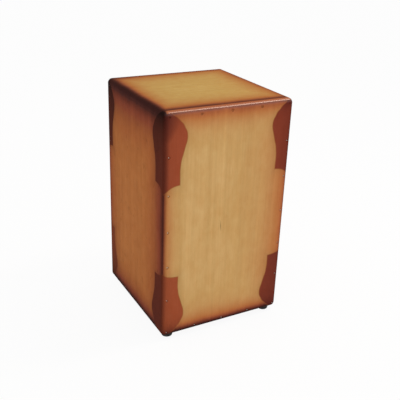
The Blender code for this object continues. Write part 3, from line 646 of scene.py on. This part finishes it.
def ivory():
    finish = Finish("ivory_plastic")
    haze = finish.cloud((180.0, 180.0, 60.0), 4.0)
    handled = finish.cloud(320.0, 2.0, 0.5)
    return finish.surface(
        Base_Color=finish.mix(haze, tone(206, 190, 152), tone(236, 226, 198)),
        Roughness=0.34 + (handled - 0.5) * 0.2,
        Coat_Weight=0.5,
        Coat_Roughness=0.12,
        Normal=finish.bump(handled, 0.00002),
    )


black_rubber = rubber()
ivory_plastic = ivory()
print("finishes:", [material.name for material in bpy.data.materials])

# %% [markdown]
# ## Working in edit mode
# Blender's modelling operators act on what is selected, so every step says what that is. These
# helpers make one object the only selected one, and pick faces or edges by a test on their place.


# %% Selecting
def leave():
    """Leave edit mode, with nothing selected."""
    if bpy.context.mode != "OBJECT":
        bpy.ops.object.mode_set(mode="OBJECT")
    bpy.ops.object.select_all(action="DESELECT")


def only(piece):
    """Make this the one selected object."""
    leave()
    piece.select_set(True)
    bpy.context.view_layer.objects.active = piece


def edit(piece, kind="EDGE"):
    """Enter edit mode on the piece, with all of it selected."""
    only(piece)
    bpy.ops.object.mode_set(mode="EDIT")
    bpy.ops.mesh.select_mode(type=kind)
    bpy.ops.mesh.select_all(action="SELECT")


def pick(piece, kind, test):
    """In edit mode, select only the faces or edges that pass the test. Gives their number."""
    bpy.ops.mesh.select_mode(type=kind)
    bpy.ops.mesh.select_all(action="DESELECT")
    form = bmesh.from_edit_mesh(piece.data)
    found = [item for item in (form.faces if kind == "FACE" else form.edges) if test(item)]
    for item in found:
        item.select_set(True)
    bmesh.update_edit_mesh(piece.data)
    return len(found)


# %% Changing whole pieces
def named(piece, name):
    piece.name = name
    piece.data.name = name
    return piece


def placed(piece, name):
    """Put the piece's place and size into its mesh, and name it."""
    only(piece)
    bpy.ops.object.transform_apply(location=True, rotation=True, scale=True)
    return named(piece, name)


def applied(piece, kind, **settings):
    """Add a modifier, set it and apply it."""
    only(piece)
    modifier = piece.modifiers.new(kind.lower(), kind)
    for setting, value in settings.items():
        setattr(modifier, setting, value)
    bpy.ops.object.modifier_apply(modifier=modifier.name)


def cut(piece, cutter, **settings):
    """Take the form of the cutter away from the piece."""
    applied(piece, "BOOLEAN", object=cutter, solver="EXACT", **settings)


def copied(piece, name):
    """A second piece with its own mesh."""
    only(piece)
    bpy.ops.object.duplicate(linked=False)
    return named(bpy.context.object, name)


def removed(piece):
    only(piece)
    bpy.ops.object.delete()


def joined(pieces, name):
    only(pieces[0])
    for piece in pieces:
        piece.select_set(True)
    bpy.ops.object.join()
    return placed(bpy.context.object, name)


def set_at(piece, spot, turn):
    """Turn a copy about the origin, then move it to its spot, all in the mesh."""
    piece.matrix_world = Matrix.Translation(spot) @ turn
    return placed(piece, piece.name)


# %% Starting forms
def block(low, high, name):
    """A cube primitive stretched between two corners."""
    low, high = Vector(low), Vector(high)
    leave()
    bpy.ops.mesh.primitive_cube_add(size=1.0, location=(low + high) / 2)
    bpy.context.object.scale = high - low
    return placed(bpy.context.object, name)


def rod(radius, low, high, steps, name):
    """A cylinder primitive on the Z axis between two heights, with flat ends."""
    leave()
    bpy.ops.mesh.primitive_cylinder_add(
        vertices=steps, radius=radius, depth=high - low, location=(0, 0, (low + high) / 2))
    return placed(bpy.context.object, name)


# %% Finishing a piece
def smooth(piece, degrees):
    only(piece)
    bpy.ops.object.shade_smooth_by_angle(angle=math.radians(degrees))
    return piece


def coat(piece, finish):
    """Make this the only finish of the piece."""
    piece.data.materials.clear()
    piece.data.materials.append(finish)


def take_place(piece, body, node):
    """Attach the piece to the body it rides on, and hide the solid it stands for."""
    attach(piece, body)
    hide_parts(node)


def centre(node):
    low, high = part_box(node)
    return (low + high) / 2


# %% [markdown]
# ## The six boards
# On the real box the boards are glued up first and the outer edges are then rounded with a router,
# so the rounding runs on from board to board. The lesson does the same: one block of the size of
# the box has all its edges bevelled, and each board is then cut out of a copy of it. The joints
# stay a hair open, and their edges are broken slightly, as lacquer shrinks into a real joint.

# %% One rounded block
EDGE_RADIUS = 10 * MM
rounded = block(body_low, body_high, "rounded_block")
edit(rounded)
bpy.ops.mesh.bevel(offset=EDGE_RADIUS, segments=14, affect="EDGES")
leave()
print("rounded block:", len(rounded.data.polygons), "faces")

# %% Where a board is cut
HALF_GAP = 0.12 * MM
BROKEN_EDGE = 0.15 * MM
STAINED_MARGIN = 2 * MM
NEAR = 0.02 * MM


def cut_planes(node):
    """The inner planes of a board, as (axis, sign, place): those that aren't the body's outside."""
    low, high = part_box(node)
    planes = []
    for axis in range(3):
        if low[axis] > body_low[axis] + MM:
            planes.append((axis, -1, low[axis] - HALF_GAP))
        if high[axis] < body_high[axis] - MM:
            planes.append((axis, 1, high[axis] + HALF_GAP))
    return planes


# %% Cutting out the boards
def cut_board(node):
    board = copied(rounded, node + "_board")
    planes = cut_planes(node)
    for axis, sign, place in planes:
        at = Vector()
        way = Vector()
        at[axis] = place
        way[axis] = sign
        edit(board)
        bpy.ops.mesh.bisect(plane_co=at, plane_no=way, use_fill=True, clear_outer=True)

    def is_cut(face, only_axis=None):
        for axis, _, place in planes:
            if only_axis in (None, axis):
                if all(abs(vert.co[axis] - place) < NEAR for vert in face.verts):
                    return True
        return False

    edit(board)
    pick(board, "EDGE", lambda edge: sum(is_cut(face) for face in edge.link_faces) == 1)
    bpy.ops.mesh.bevel(offset=BROKEN_EDGE, segments=1, affect="EDGES")
    # Bare ply shows inside the box only: the stain ran a little way into every joint
    low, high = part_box(node)
    thin = min(range(3), key=lambda axis: high[axis] - low[axis])
    inner = pick(board, "FACE", lambda face: is_cut(face, thin))
    if not node.endswith("side"):
        bpy.ops.mesh.inset(thickness=STAINED_MARGIN)
    board.data.materials.append(lacquer)
    board.data.materials.append(bare_ply)
    form = bmesh.from_edit_mesh(board.data)
    for face in form.faces:
        face.material_index = 1 if face.select else 0
    bmesh.update_edit_mesh(board.data)
    print(board.name, "has", inner, "inner face and", len(planes) - inner, "joint faces")
    return board


boards = {node: cut_board(node) for node in
          ("tapa", "back_panel", "seat", "base", "left_side", "right_side")}
removed(rounded)

# %% [markdown]
# ## Holes in the boards
# A hole is cut with a Boolean modifier: a cutter of the hole's form is taken away from the board.
# The sound hole's two rims are then rounded, so that a hand can reach in without a scratch. The
# twenty screws of the tapa sit in countersunk holes, a little below the surface.

# %% Sound hole
HOLE_RADIUS = 60 * MM
HOLE_HEIGHT = 0.262
HOLE_ROUNDING = 2 * MM
panel_back = boards["back_panel"]
leave()
bpy.ops.mesh.primitive_cylinder_add(
    vertices=96, radius=HOLE_RADIUS, depth=30 * MM, rotation=(math.pi / 2, 0, 0),
    location=(0, centre("back_panel").y, HOLE_HEIGHT))
hole_cutter = placed(bpy.context.object, "hole_cutter")
hole_cutter.data.materials.append(ply_edge)
panel_back.data.materials.append(ply_edge)
cut(panel_back, hole_cutter, material_mode="TRANSFER")
removed(hole_cutter)


def on_rim(edge):
    """True for the edges of the round hole that lie in a face of the panel."""
    ys = [vert.co.y for vert in edge.verts]
    reach = [math.hypot(vert.co.x, vert.co.z - HOLE_HEIGHT) for vert in edge.verts]
    level = abs(ys[0] - ys[1]) < NEAR
    return level and all(abs(value - HOLE_RADIUS) < NEAR for value in reach)


edit(panel_back)
print("rim edges:", pick(panel_back, "EDGE", on_rim))
bpy.ops.mesh.bevel(offset=HOLE_ROUNDING, segments=5, affect="EDGES")

# %% Sizes of the tapa's screws
HEAD_RADIUS = 2.9 * MM
HEAD_DEPTH = 1.7 * MM
SHANK_RADIUS = 1.4 * MM
SCREW_LENGTH = 16 * MM
CLEAR = 0.3 * MM
MOUTH_CLEAR = 0.1 * MM
tapa_screws = sorted(name for name in nodes if name.startswith("tapa_screw_"))
print(len(tapa_screws), "screws with heads of", round(2 * HEAD_RADIUS / MM, 2), "mm")


# %% Growing a form from its end
def grow(steps):
    """Extrude the selected end face step by step: (how far along Z, its new size as a share)."""
    for rise, share in steps:
        bpy.ops.mesh.extrude_region_move(TRANSFORM_OT_translate={"value": (0, 0, rise)})
        bpy.ops.transform.resize(value=(share, share, 1.0))


def end_face(piece, height):
    """In edit mode, select the flat end at that height."""
    pick(piece, "FACE", lambda face: all(abs(v.co.z - height) < NEAR for v in face.verts))


# %% Countersunk holes
def screw_cutter():
    """The room that one screw takes: a wide mouth, a cone and a shaft down the -Z axis."""
    mouth = HEAD_RADIUS + MOUTH_CLEAR
    cutter = rod(mouth, 0.0, 3 * MM, 32, "screw_room")
    edit(cutter)
    end_face(cutter, 0.0)
    narrow = (SHANK_RADIUS + CLEAR) / mouth
    grow([(-HEAD_DEPTH, narrow), (-(SCREW_LENGTH + CLEAR - HEAD_DEPTH), 1.0)])
    return cutter


def screw_spot(node):
    """Where the middle of a tapa screw's head is, on the front of the drum."""
    spot = centre(node)
    spot.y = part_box(node)[0].y
    return spot


TO_FRONT = Matrix.Rotation(math.pi / 2, 4, "X")
TO_REAR = Matrix.Rotation(-math.pi / 2, 4, "X")
UPSIDE_DOWN = Matrix.Rotation(math.pi, 4, "X")
room = screw_cutter()
rooms = [set_at(copied(room, "room"), screw_spot(node), TO_FRONT) for node in tapa_screws]
removed(room)
rooms = joined(rooms, "screw_rooms")
for node in ("tapa", "seat", "base", "left_side", "right_side"):
    cut(boards[node], rooms)
removed(rooms)
print("tapa:", len(boards["tapa"].data.polygons), "faces")

# %% Sockets for the bars
BARS = ("string_anchor_bar", "string_bridge", "tuner_bar")
spare = Vector((CLEAR, CLEAR, CLEAR))
for bar in BARS:
    low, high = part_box(bar)
    socket = block(low - spare, high + spare, "socket")
    for node in ("left_side", "right_side"):
        cut(boards[node], socket)
    removed(socket)
print("left side:", len(boards["left_side"].data.polygons), "faces")

# %% Dressing the boards
for node, board in boards.items():
    smooth(board, 30)
    applied(board, "WEIGHTED_NORMAL", keep_sharp=True)
    take_place(board, "box", node)
    print(board.name, len(board.data.polygons), "faces")

# %% [markdown]
# ## Screws
# A screw is turned from wire: a head, a cone or a flat under it, and a shank. The driver's cross
# is pressed into the head. The tapa's screws went through the same spray as the wood, so that only
# the cross, where the driver scraped it, shows bright metal. One screw of each kind is modelled
# and then copied to each place.


# %% Driver's cross
def cross_cutter(size, depth):
    """Two crossed wedges, wide at the top, that leave a driver's cross in a screw head."""
    arms = []
    for turn in (0.0, math.pi / 2):
        arm = block((-size, -size * 0.26, -depth), (size, size * 0.26, depth), "cross")
        edit(arm)
        end_face(arm, -depth)
        bpy.ops.transform.resize(value=(0.45, 0.6, 1.0))
        arm.rotation_euler = (0, 0, turn)
        arms.append(placed(arm, "cross"))
    applied(arms[0], "BOOLEAN", object=arms[1], operation="UNION", solver="EXACT")
    removed(arms[1])
    return arms[0]


# %% Flat screw
HEAD_BAND = 0.25 * MM
SPRAYED_RIM = 0.2 * MM
RIDGES = 9
RIDGE_RISE = 0.7 * MM
CROSS_REACH = 1.7 * MM
CROSS_DEPTH = 0.7 * MM


def sprayed_above(screw, height):
    """In edit mode, give the faces above that height the screw's second finish, the lacquer."""
    pick(screw, "FACE", lambda face: all(v.co.z > height for v in face.verts))
    screw.active_material_index = 1
    bpy.ops.object.material_slot_assign()


def flat_screw():
    """The tapa's screw: its flat head is at height 0, and its shank runs down -Z."""
    screw = rod(HEAD_RADIUS, -HEAD_BAND, 0.0, 32, "tapa_screw")
    edit(screw)
    end_face(screw, -HEAD_BAND)
    grow([(-(HEAD_DEPTH - HEAD_BAND), SHANK_RADIUS / HEAD_RADIUS)])
    grow([(-RIDGE_RISE, 0.80), (-RIDGE_RISE, 1.25)] * RIDGES)
    grow([(-(SCREW_LENGTH - HEAD_DEPTH - 2 * RIDGES * RIDGE_RISE), 0.12)])
    pick(screw, "EDGE", lambda edge: all(abs(v.co.z) < NEAR for v in edge.verts))
    bpy.ops.mesh.bevel(offset=0.12 * MM, segments=2, affect="EDGES")
    screw.data.materials.append(zinc)
    screw.data.materials.append(lacquer)
    sprayed_above(screw, -SPRAYED_RIM)
    cross = cross_cutter(CROSS_REACH, CROSS_DEPTH)
    cross.data.materials.append(zinc)
    cut(screw, cross, material_mode="TRANSFER")
    removed(cross)
    return smooth(screw, 35)


# %% Pan-head screw
CROWN = 0.75
SHOULDER = 0.9
PanScrew = namedtuple("PanScrew", "head rise shank length")


def pan_screw(size, name, crossed=True):
    """A pan-head screw whose head rests on height 0, with a cross or a slot in its crown."""
    head, rise, shank, length = size
    screw = rod(head, 0.0, 0.5 * rise, 32, name)
    edit(screw)
    end_face(screw, 0.5 * rise)
    grow([(0.3 * rise, SHOULDER), (0.2 * rise, CROWN / SHOULDER)])
    end_face(screw, 0.0)
    bpy.ops.mesh.inset(thickness=head - shank)
    grow([(-(length - shank), 1.0), (-shank, 0.3)])
    if crossed:
        cutter = cross_cutter(0.6 * head, 0.7 * rise)
        cutter.location.z = rise
        placed(cutter, "cross")
    else:
        half = Vector((2 * head, 0.14 * head, 0.75 * rise))
        middle = Vector((0.0, 0.0, 1.25 * rise))
        cutter = block(middle - half, middle + half, "slot")
    cut(screw, cutter)
    removed(cutter)
    coat(screw, zinc)
    return smooth(screw, 35)


# %% Screws of the tapa
# The top row was never opened again, so its crosses kept their lacquer
pattern = flat_screw()
untouched = copied(pattern, "untouched_screw")
edit(untouched)
sprayed_above(untouched, -CROSS_DEPTH - 0.05 * MM)
for number, node in enumerate(tapa_screws):
    turn = TO_FRONT @ Matrix.Rotation(0.7 * number, 4, "Z")
    spot = screw_spot(node)
    kind = untouched if spot.z > body_high.z - 30 * MM else pattern
    take_place(set_at(copied(kind, node + "_cross"), spot, turn), "box", node)
removed(pattern)
removed(untouched)

# %% Screws of the feet and of the gears
FOOT_SCREW = PanScrew(4.0 * MM, 2.4 * MM, 1.7 * MM, 11 * MM)
GEAR_SCREW = PanScrew(2.7 * MM, 1.3 * MM, 0.8 * MM, 3.5 * MM)
FLANKS = ((-1, "left"), (1, "right"))
corners = ("front_left", "front_right", "rear_left", "rear_right")
pattern = pan_screw(FOOT_SCREW, "foot_screw")
for number, corner in enumerate(corners):
    node = "foot_screw_" + corner
    spot = centre(node)
    spot.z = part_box(node)[0].z + FOOT_SCREW.rise
    turn = UPSIDE_DOWN @ Matrix.Rotation(0.4 + 0.9 * number, 4, "Z")
    take_place(set_at(copied(pattern, node + "_cross"), spot, turn), "box", node)
removed(pattern)
pattern = pan_screw(GEAR_SCREW, "gear_screw", crossed=False)
for sign, flank in FLANKS:
    node = "gear_screw_" + flank
    spot = centre(node)
    spot.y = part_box(node)[1].y - GEAR_SCREW.rise
    turn = TO_REAR @ Matrix.Rotation(0.6 * sign, 4, "Z")
    screw = set_at(copied(pattern, node + "_slotted"), spot, turn)
    take_place(screw, flank + "_post", node)
removed(pattern)
print("one of these screws:", len(screw.data.polygons), "faces")

# %% [markdown]
# ## Rubber feet
# The feet are moulded rubber, slightly tapered, with a recess that hides the screw's head. Each
# starts as a cylinder: its lower face is extruded inwards and up for the recess, and the rims are
# rounded with a bevel. One shallow groove round the side is the mark of the mould.

# %% Sizes of a foot
FOOT_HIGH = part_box("foot_front_left")[1].z
FOOT_WIDE = 13 * MM
FOOT_LOW_WIDE = 11.5 * MM
RECESS_TOP = FOOT_HIGH - 3.2 * MM
RECESS_WIDE = 4.9 * MM
SCREW_BORE = 2 * MM
BORE_END = 0.1 * MM
FOOT_BAND = 1.5 * MM
GROOVE_SLOPE = 0.4 * MM
GROOVE_FLOOR = 0.8 * MM
GROOVE_SHARE = 0.965
FOOT_RIMS = (   # height, radius, rounding and steps of it
    (0.0, FOOT_LOW_WIDE, 1.2 * MM, 4),
    (0.0, RECESS_WIDE, 0.6 * MM, 3),
    (FOOT_HIGH, FOOT_WIDE, 0.5 * MM, 3),
)
print("foot:", round(FOOT_HIGH / MM, 2), "mm high")


def ring(piece, height, radius):
    """In edit mode, select the edges round the Z axis at that height and radius."""
    return pick(piece, "EDGE", lambda edge: all(
        abs(v.co.z - height) < NEAR and abs(v.co.xy.length - radius) < NEAR for v in edge.verts))


# %% Feet
def foot():
    """A foot on the Z axis, made from its top band downwards and then up into its recess."""
    band_low = FOOT_HIGH - FOOT_BAND
    piece = rod(FOOT_WIDE, band_low, FOOT_HIGH, 64, "foot")
    edit(piece)
    end_face(piece, band_low)
    grow([(-GROOVE_SLOPE, GROOVE_SHARE), (-GROOVE_FLOOR, 1.0), (-GROOVE_SLOPE, 1.0 / GROOVE_SHARE),
          (-(band_low - 2 * GROOVE_SLOPE - GROOVE_FLOOR), FOOT_LOW_WIDE / FOOT_WIDE)])
    bpy.ops.mesh.inset(thickness=FOOT_LOW_WIDE - RECESS_WIDE)
    grow([(RECESS_TOP, 1.0)])
    bpy.ops.mesh.inset(thickness=RECESS_WIDE - SCREW_BORE)
    grow([(FOOT_HIGH - BORE_END - RECESS_TOP, 1.0)])
    for height, radius, rounding, steps in FOOT_RIMS:
        print(ring(piece, height, radius), "edges in a rim of the foot")
        bpy.ops.mesh.bevel(offset=rounding, segments=steps, affect="EDGES")
    return smooth(piece, 40)


pattern = foot()
coat(pattern, black_rubber)
for corner in corners:
    node = "foot_" + corner
    spot = centre(node)
    spot.z = 0.0
    piece = set_at(copied(pattern, node + "_moulded"), spot, Matrix())
    take_place(piece, "box", node)
removed(pattern)

# %% [markdown]
# ## Pieces that keep their solid's form
# The plates, posts, gears, worms, bushes and buttons already have the right form as solids. What
# is missing are the soft edges that catch light. A copy of each solid is merged and cleared of its
# flat triangles, its edges are bevelled by a hair, and the copy takes the solid's place.


# %% Crosses of the plates' screws
PLATE_SCREW = PanScrew(1.9 * MM, 1.2 * MM, 0.9 * MM, 8 * MM)
PLATE_SCREW_OFFSET = 9.2 * MM
TUNER_SPREAD = 0.034
TUNER_HEIGHT = 0.185


def plate_crosses(flank, sign):
    """The drivers' crosses in the two screws of a tuner plate, as one cutter."""
    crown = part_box("tuner_plate_" + flank)[0].y + PLATE_SCREW.length + PLATE_SCREW.rise
    crosses = []
    for rise in (-PLATE_SCREW_OFFSET, PLATE_SCREW_OFFSET):
        cross = cross_cutter(0.62 * PLATE_SCREW.head, 0.55 * PLATE_SCREW.rise)
        spot = Vector((sign * TUNER_SPREAD, crown, TUNER_HEIGHT + rise))
        turn = TO_REAR @ Matrix.Rotation(0.3 + 40 * rise * sign, 4, "Z")
        crosses.append(set_at(cross, spot, turn))
    return joined(crosses, "crosses")


# %% Softened copies
def softened(node, width, cutter=None):
    """A copy of a solid with edges bevelled by that width."""
    piece = bpy.data.objects.new(node + "_soft", nodes[node].data.copy())
    bpy.context.scene.collection.objects.link(piece)
    piece.data.name = piece.name
    edit(piece, "VERT")
    bpy.ops.mesh.remove_doubles(threshold=0.002 * MM)
    bpy.ops.mesh.dissolve_limited(angle_limit=math.radians(1.0))
    applied(piece, "BEVEL", width=width, segments=2, limit_method="ANGLE",
            angle_limit=math.radians(35))
    if cutter:
        cut(piece, cutter)
        removed(cutter)
    smooth(piece, 40)
    applied(piece, "WEIGHTED_NORMAL", keep_sharp=True)
    return piece


SOFT_EDGES = (
    ("tuner_plate", 0.15, "box", nickel, "nickel"),
    ("post_bush", 0.12, "box", nickel, "nickel"),
    ("string_post", 0.12, "post", nickel, "nickel"),
    ("post_gear", 0.06, "post", brass, "brass"),
    ("string_bead", 0.10, "box", brass, "brass"),
    ("worm_shaft", 0.05, "worm", steel, "worm_steel"),
    ("tuner_button", 0.15, "worm", ivory_plastic, "ivory_button"),
)
for stem, width, rides, finish, slot_name in SOFT_EDGES:
    for sign, flank in FLANKS:
        node = f"{stem}_{flank}"
        body = "box" if rides == "box" else f"{flank}_{rides}"
        cutter = plate_crosses(flank, sign) if stem == "tuner_plate" else None
        piece = softened(node, width * MM, cutter)
        coat(piece, finish)
        take_place(piece, body, node)
    print(stem, len(piece.data.polygons), "faces each")

# %% [markdown]
# ## Strings
# Each string is a steel core wrapped in bronze wire. It leaves its bead behind the anchor bar,
# lies along the inside of the tapa, bends round the bridge and winds on its post. Its route is the
# one of the solid, with more points on the curves. The wrap is real relief here: the tube is a
# curve whose radius changes from ring to ring, so the string looks ribbed from close by.

# %% Places of the strings
STRING_RADIUS = 0.5 * MM
STRING_BEND = 2 * MM
STRING_CLEAR = 0.3 * MM
STRING_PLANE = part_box("tapa")[1].y + STRING_CLEAR + STRING_RADIUS
ANCHOR_SPREAD = 0.062
ANCHOR_HEIGHT = 0.455
FIRST_TURN = -0.1375
TURN_PITCH = 1.6 * MM
TURNS = 3.25
TURN_STEPS = 60
POST_RADIUS = 3 * MM
WINDING_RADIUS = POST_RADIUS + STRING_CLEAR + STRING_RADIUS
BRIDGE_ROUNDING = 2 * MM
BRIDGE_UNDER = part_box("string_bridge")[0].z
print("the turns lie", round(WINDING_RADIUS / MM, 2), "mm from the post's axis")


# %% The route of a string
def arc(middle, radius, start, end, steps):
    """Points on an arc, from one angle in degrees to another."""
    points = []
    for step in range(steps + 1):
        angle = math.radians(start + (end - start) * step / steps)
        points.append((middle[0] + radius * math.cos(angle), middle[1] + radius * math.sin(angle)))
    return points


def string_route(anchor_x, post_x, bead_end):
    """Points from the bead over both bends to the post, and round it."""
    bend_end = ANCHOR_HEIGHT - STRING_BEND
    spread = anchor_x - post_x
    drop = bend_end - TUNER_HEIGHT
    touch = math.atan2(drop, spread) - math.acos(WINDING_RADIUS / math.hypot(spread, drop))
    end_x = post_x + WINDING_RADIUS * math.cos(touch)
    end_z = TUNER_HEIGHT + WINDING_RADIUS * math.sin(touch)

    def on_run(z):
        return anchor_x + (bend_end - z) / (bend_end - end_z) * (end_x - anchor_x)

    points = [(anchor_x, bead_end, ANCHOR_HEIGHT)]
    bend = arc((STRING_PLANE + STRING_BEND, bend_end), STRING_BEND, 90, 180, 12)
    points += [(anchor_x, y, z) for y, z in bend]
    fold = BRIDGE_ROUNDING + STRING_CLEAR + STRING_RADIUS
    pivot = (STRING_PLANE + fold, BRIDGE_UNDER + BRIDGE_ROUNDING)
    slope = math.atan2(FIRST_TURN - STRING_PLANE, pivot[1] - end_z)
    over = arc(pivot, fold, 180, 180 + math.degrees(slope), 8)
    points += [(on_run(z), y, z) for y, z in over]
    for step in range(round(TURNS * TURN_STEPS) + 1):
        angle = touch - 2 * math.pi * step / TURN_STEPS
        points.append((post_x + WINDING_RADIUS * math.cos(angle),
                       FIRST_TURN + TURN_PITCH * step / TURN_STEPS,
                       TUNER_HEIGHT + WINDING_RADIUS * math.sin(angle)))
    return [Vector(point) for point in points]


def even(points, step):
    """Points at even steps along a route, and its length."""
    length = sum((b - a).length for a, b in zip(points, points[1:]))
    count = round(length / step)
    spots = [points[0]]
    travelled, at = 0.0, 0
    for index in range(1, count + 1):
        wanted = length * index / count
        while at < len(points) - 2 and travelled + (points[at + 1] - points[at]).length < wanted:
            travelled += (points[at + 1] - points[at]).length
            at += 1
        run = (points[at + 1] - points[at]).length
        spots.append(points[at].lerp(points[at + 1], min(1.0, (wanted - travelled) / run)))
    return spots, length


# %% Two wound strings
WRAP = 0.45 * MM
BETWEEN_WRAPS = 0.86
for sign, flank in FLANKS:
    bead_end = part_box("string_bead_" + flank)[1].y
    route, length = even(
        string_route(sign * ANCHOR_SPREAD, sign * TUNER_SPREAD, bead_end), WRAP / 2)
    data = bpy.data.curves.new("string", "CURVE")
    data.dimensions = "3D"
    data.bevel_depth = STRING_RADIUS
    data.bevel_resolution = 3
    data.use_fill_caps = True
    spline = data.splines.new("POLY")
    spline.points.add(len(route) - 1)
    for index, (point, spot) in enumerate(zip(spline.points, route)):
        point.co = (*spot, 1.0)
        point.radius = 1.0 if index % 2 else BETWEEN_WRAPS
    string = bpy.data.objects.new(f"string_{flank}_wound", data)
    bpy.context.scene.collection.objects.link(string)
    only(string)
    bpy.ops.object.convert(target="MESH")
    edit(bpy.context.object, "VERT")
    bpy.ops.mesh.remove_doubles(threshold=0.001 * MM)
    string = smooth(bpy.context.object, 60)
    coat(string, bronze)
    take_place(string, "box", "string_" + flank)
    print(string.name, f"{length / MM:.0f} mm long,", len(string.data.polygons), "faces")

# %% [markdown]
# ## Wooden pieces that stay as they are
# The three bars and the four glue blocks are plain sawn wood with broken edges, and their solids
# show that already. They only get their wood.

# %% Wood for bars and blocks
for name, node in nodes.items():
    if name.startswith("glue_block"):
        coat(node, spruce)
    if name in BARS:
        coat(node, beech)
print("in bare wood:", [name for name in nodes if name in BARS or name.startswith("glue_block")])

# %% [markdown]
# ## Floor
# The floor is plain and pale. Seen by the camera it is mostly white, so that it meets the white
# background with no line, and only a trace of the drum's shadow is left on it.

# %% Floor
leave()
bpy.ops.mesh.primitive_plane_add(size=12.0, location=(0, 0, 0))
floor = bpy.context.object
floor.name = "floor"
paint = Finish("floor_paint")
speck = paint.cloud(3.0, 2.0, 0.5)
paint.surface(
    Base_Color=paint.mix(speck, grey(0.78), grey(0.80)),
    Roughness=0.9, Specular_IOR_Level=0.0,
)
white = paint.add("Emission", {}, {"Color": grey(1.0), "Strength": 1.0})
painted = Wire(paint, paint.shader.outputs[0])
cover = paint.add("MixShader", {}, {0: paint.seen() * 0.93, 1: painted, 2: white})
output = paint.tree.nodes["Material Output"]
paint.tree.links.new(cover.socket, output.inputs["Surface"])
floor.data.materials.append(paint.material)
print("floor:", [round(size, 2) for size in floor.dimensions], "m")

# %% Colour management
bpy.context.scene.view_settings.view_transform = "Standard"
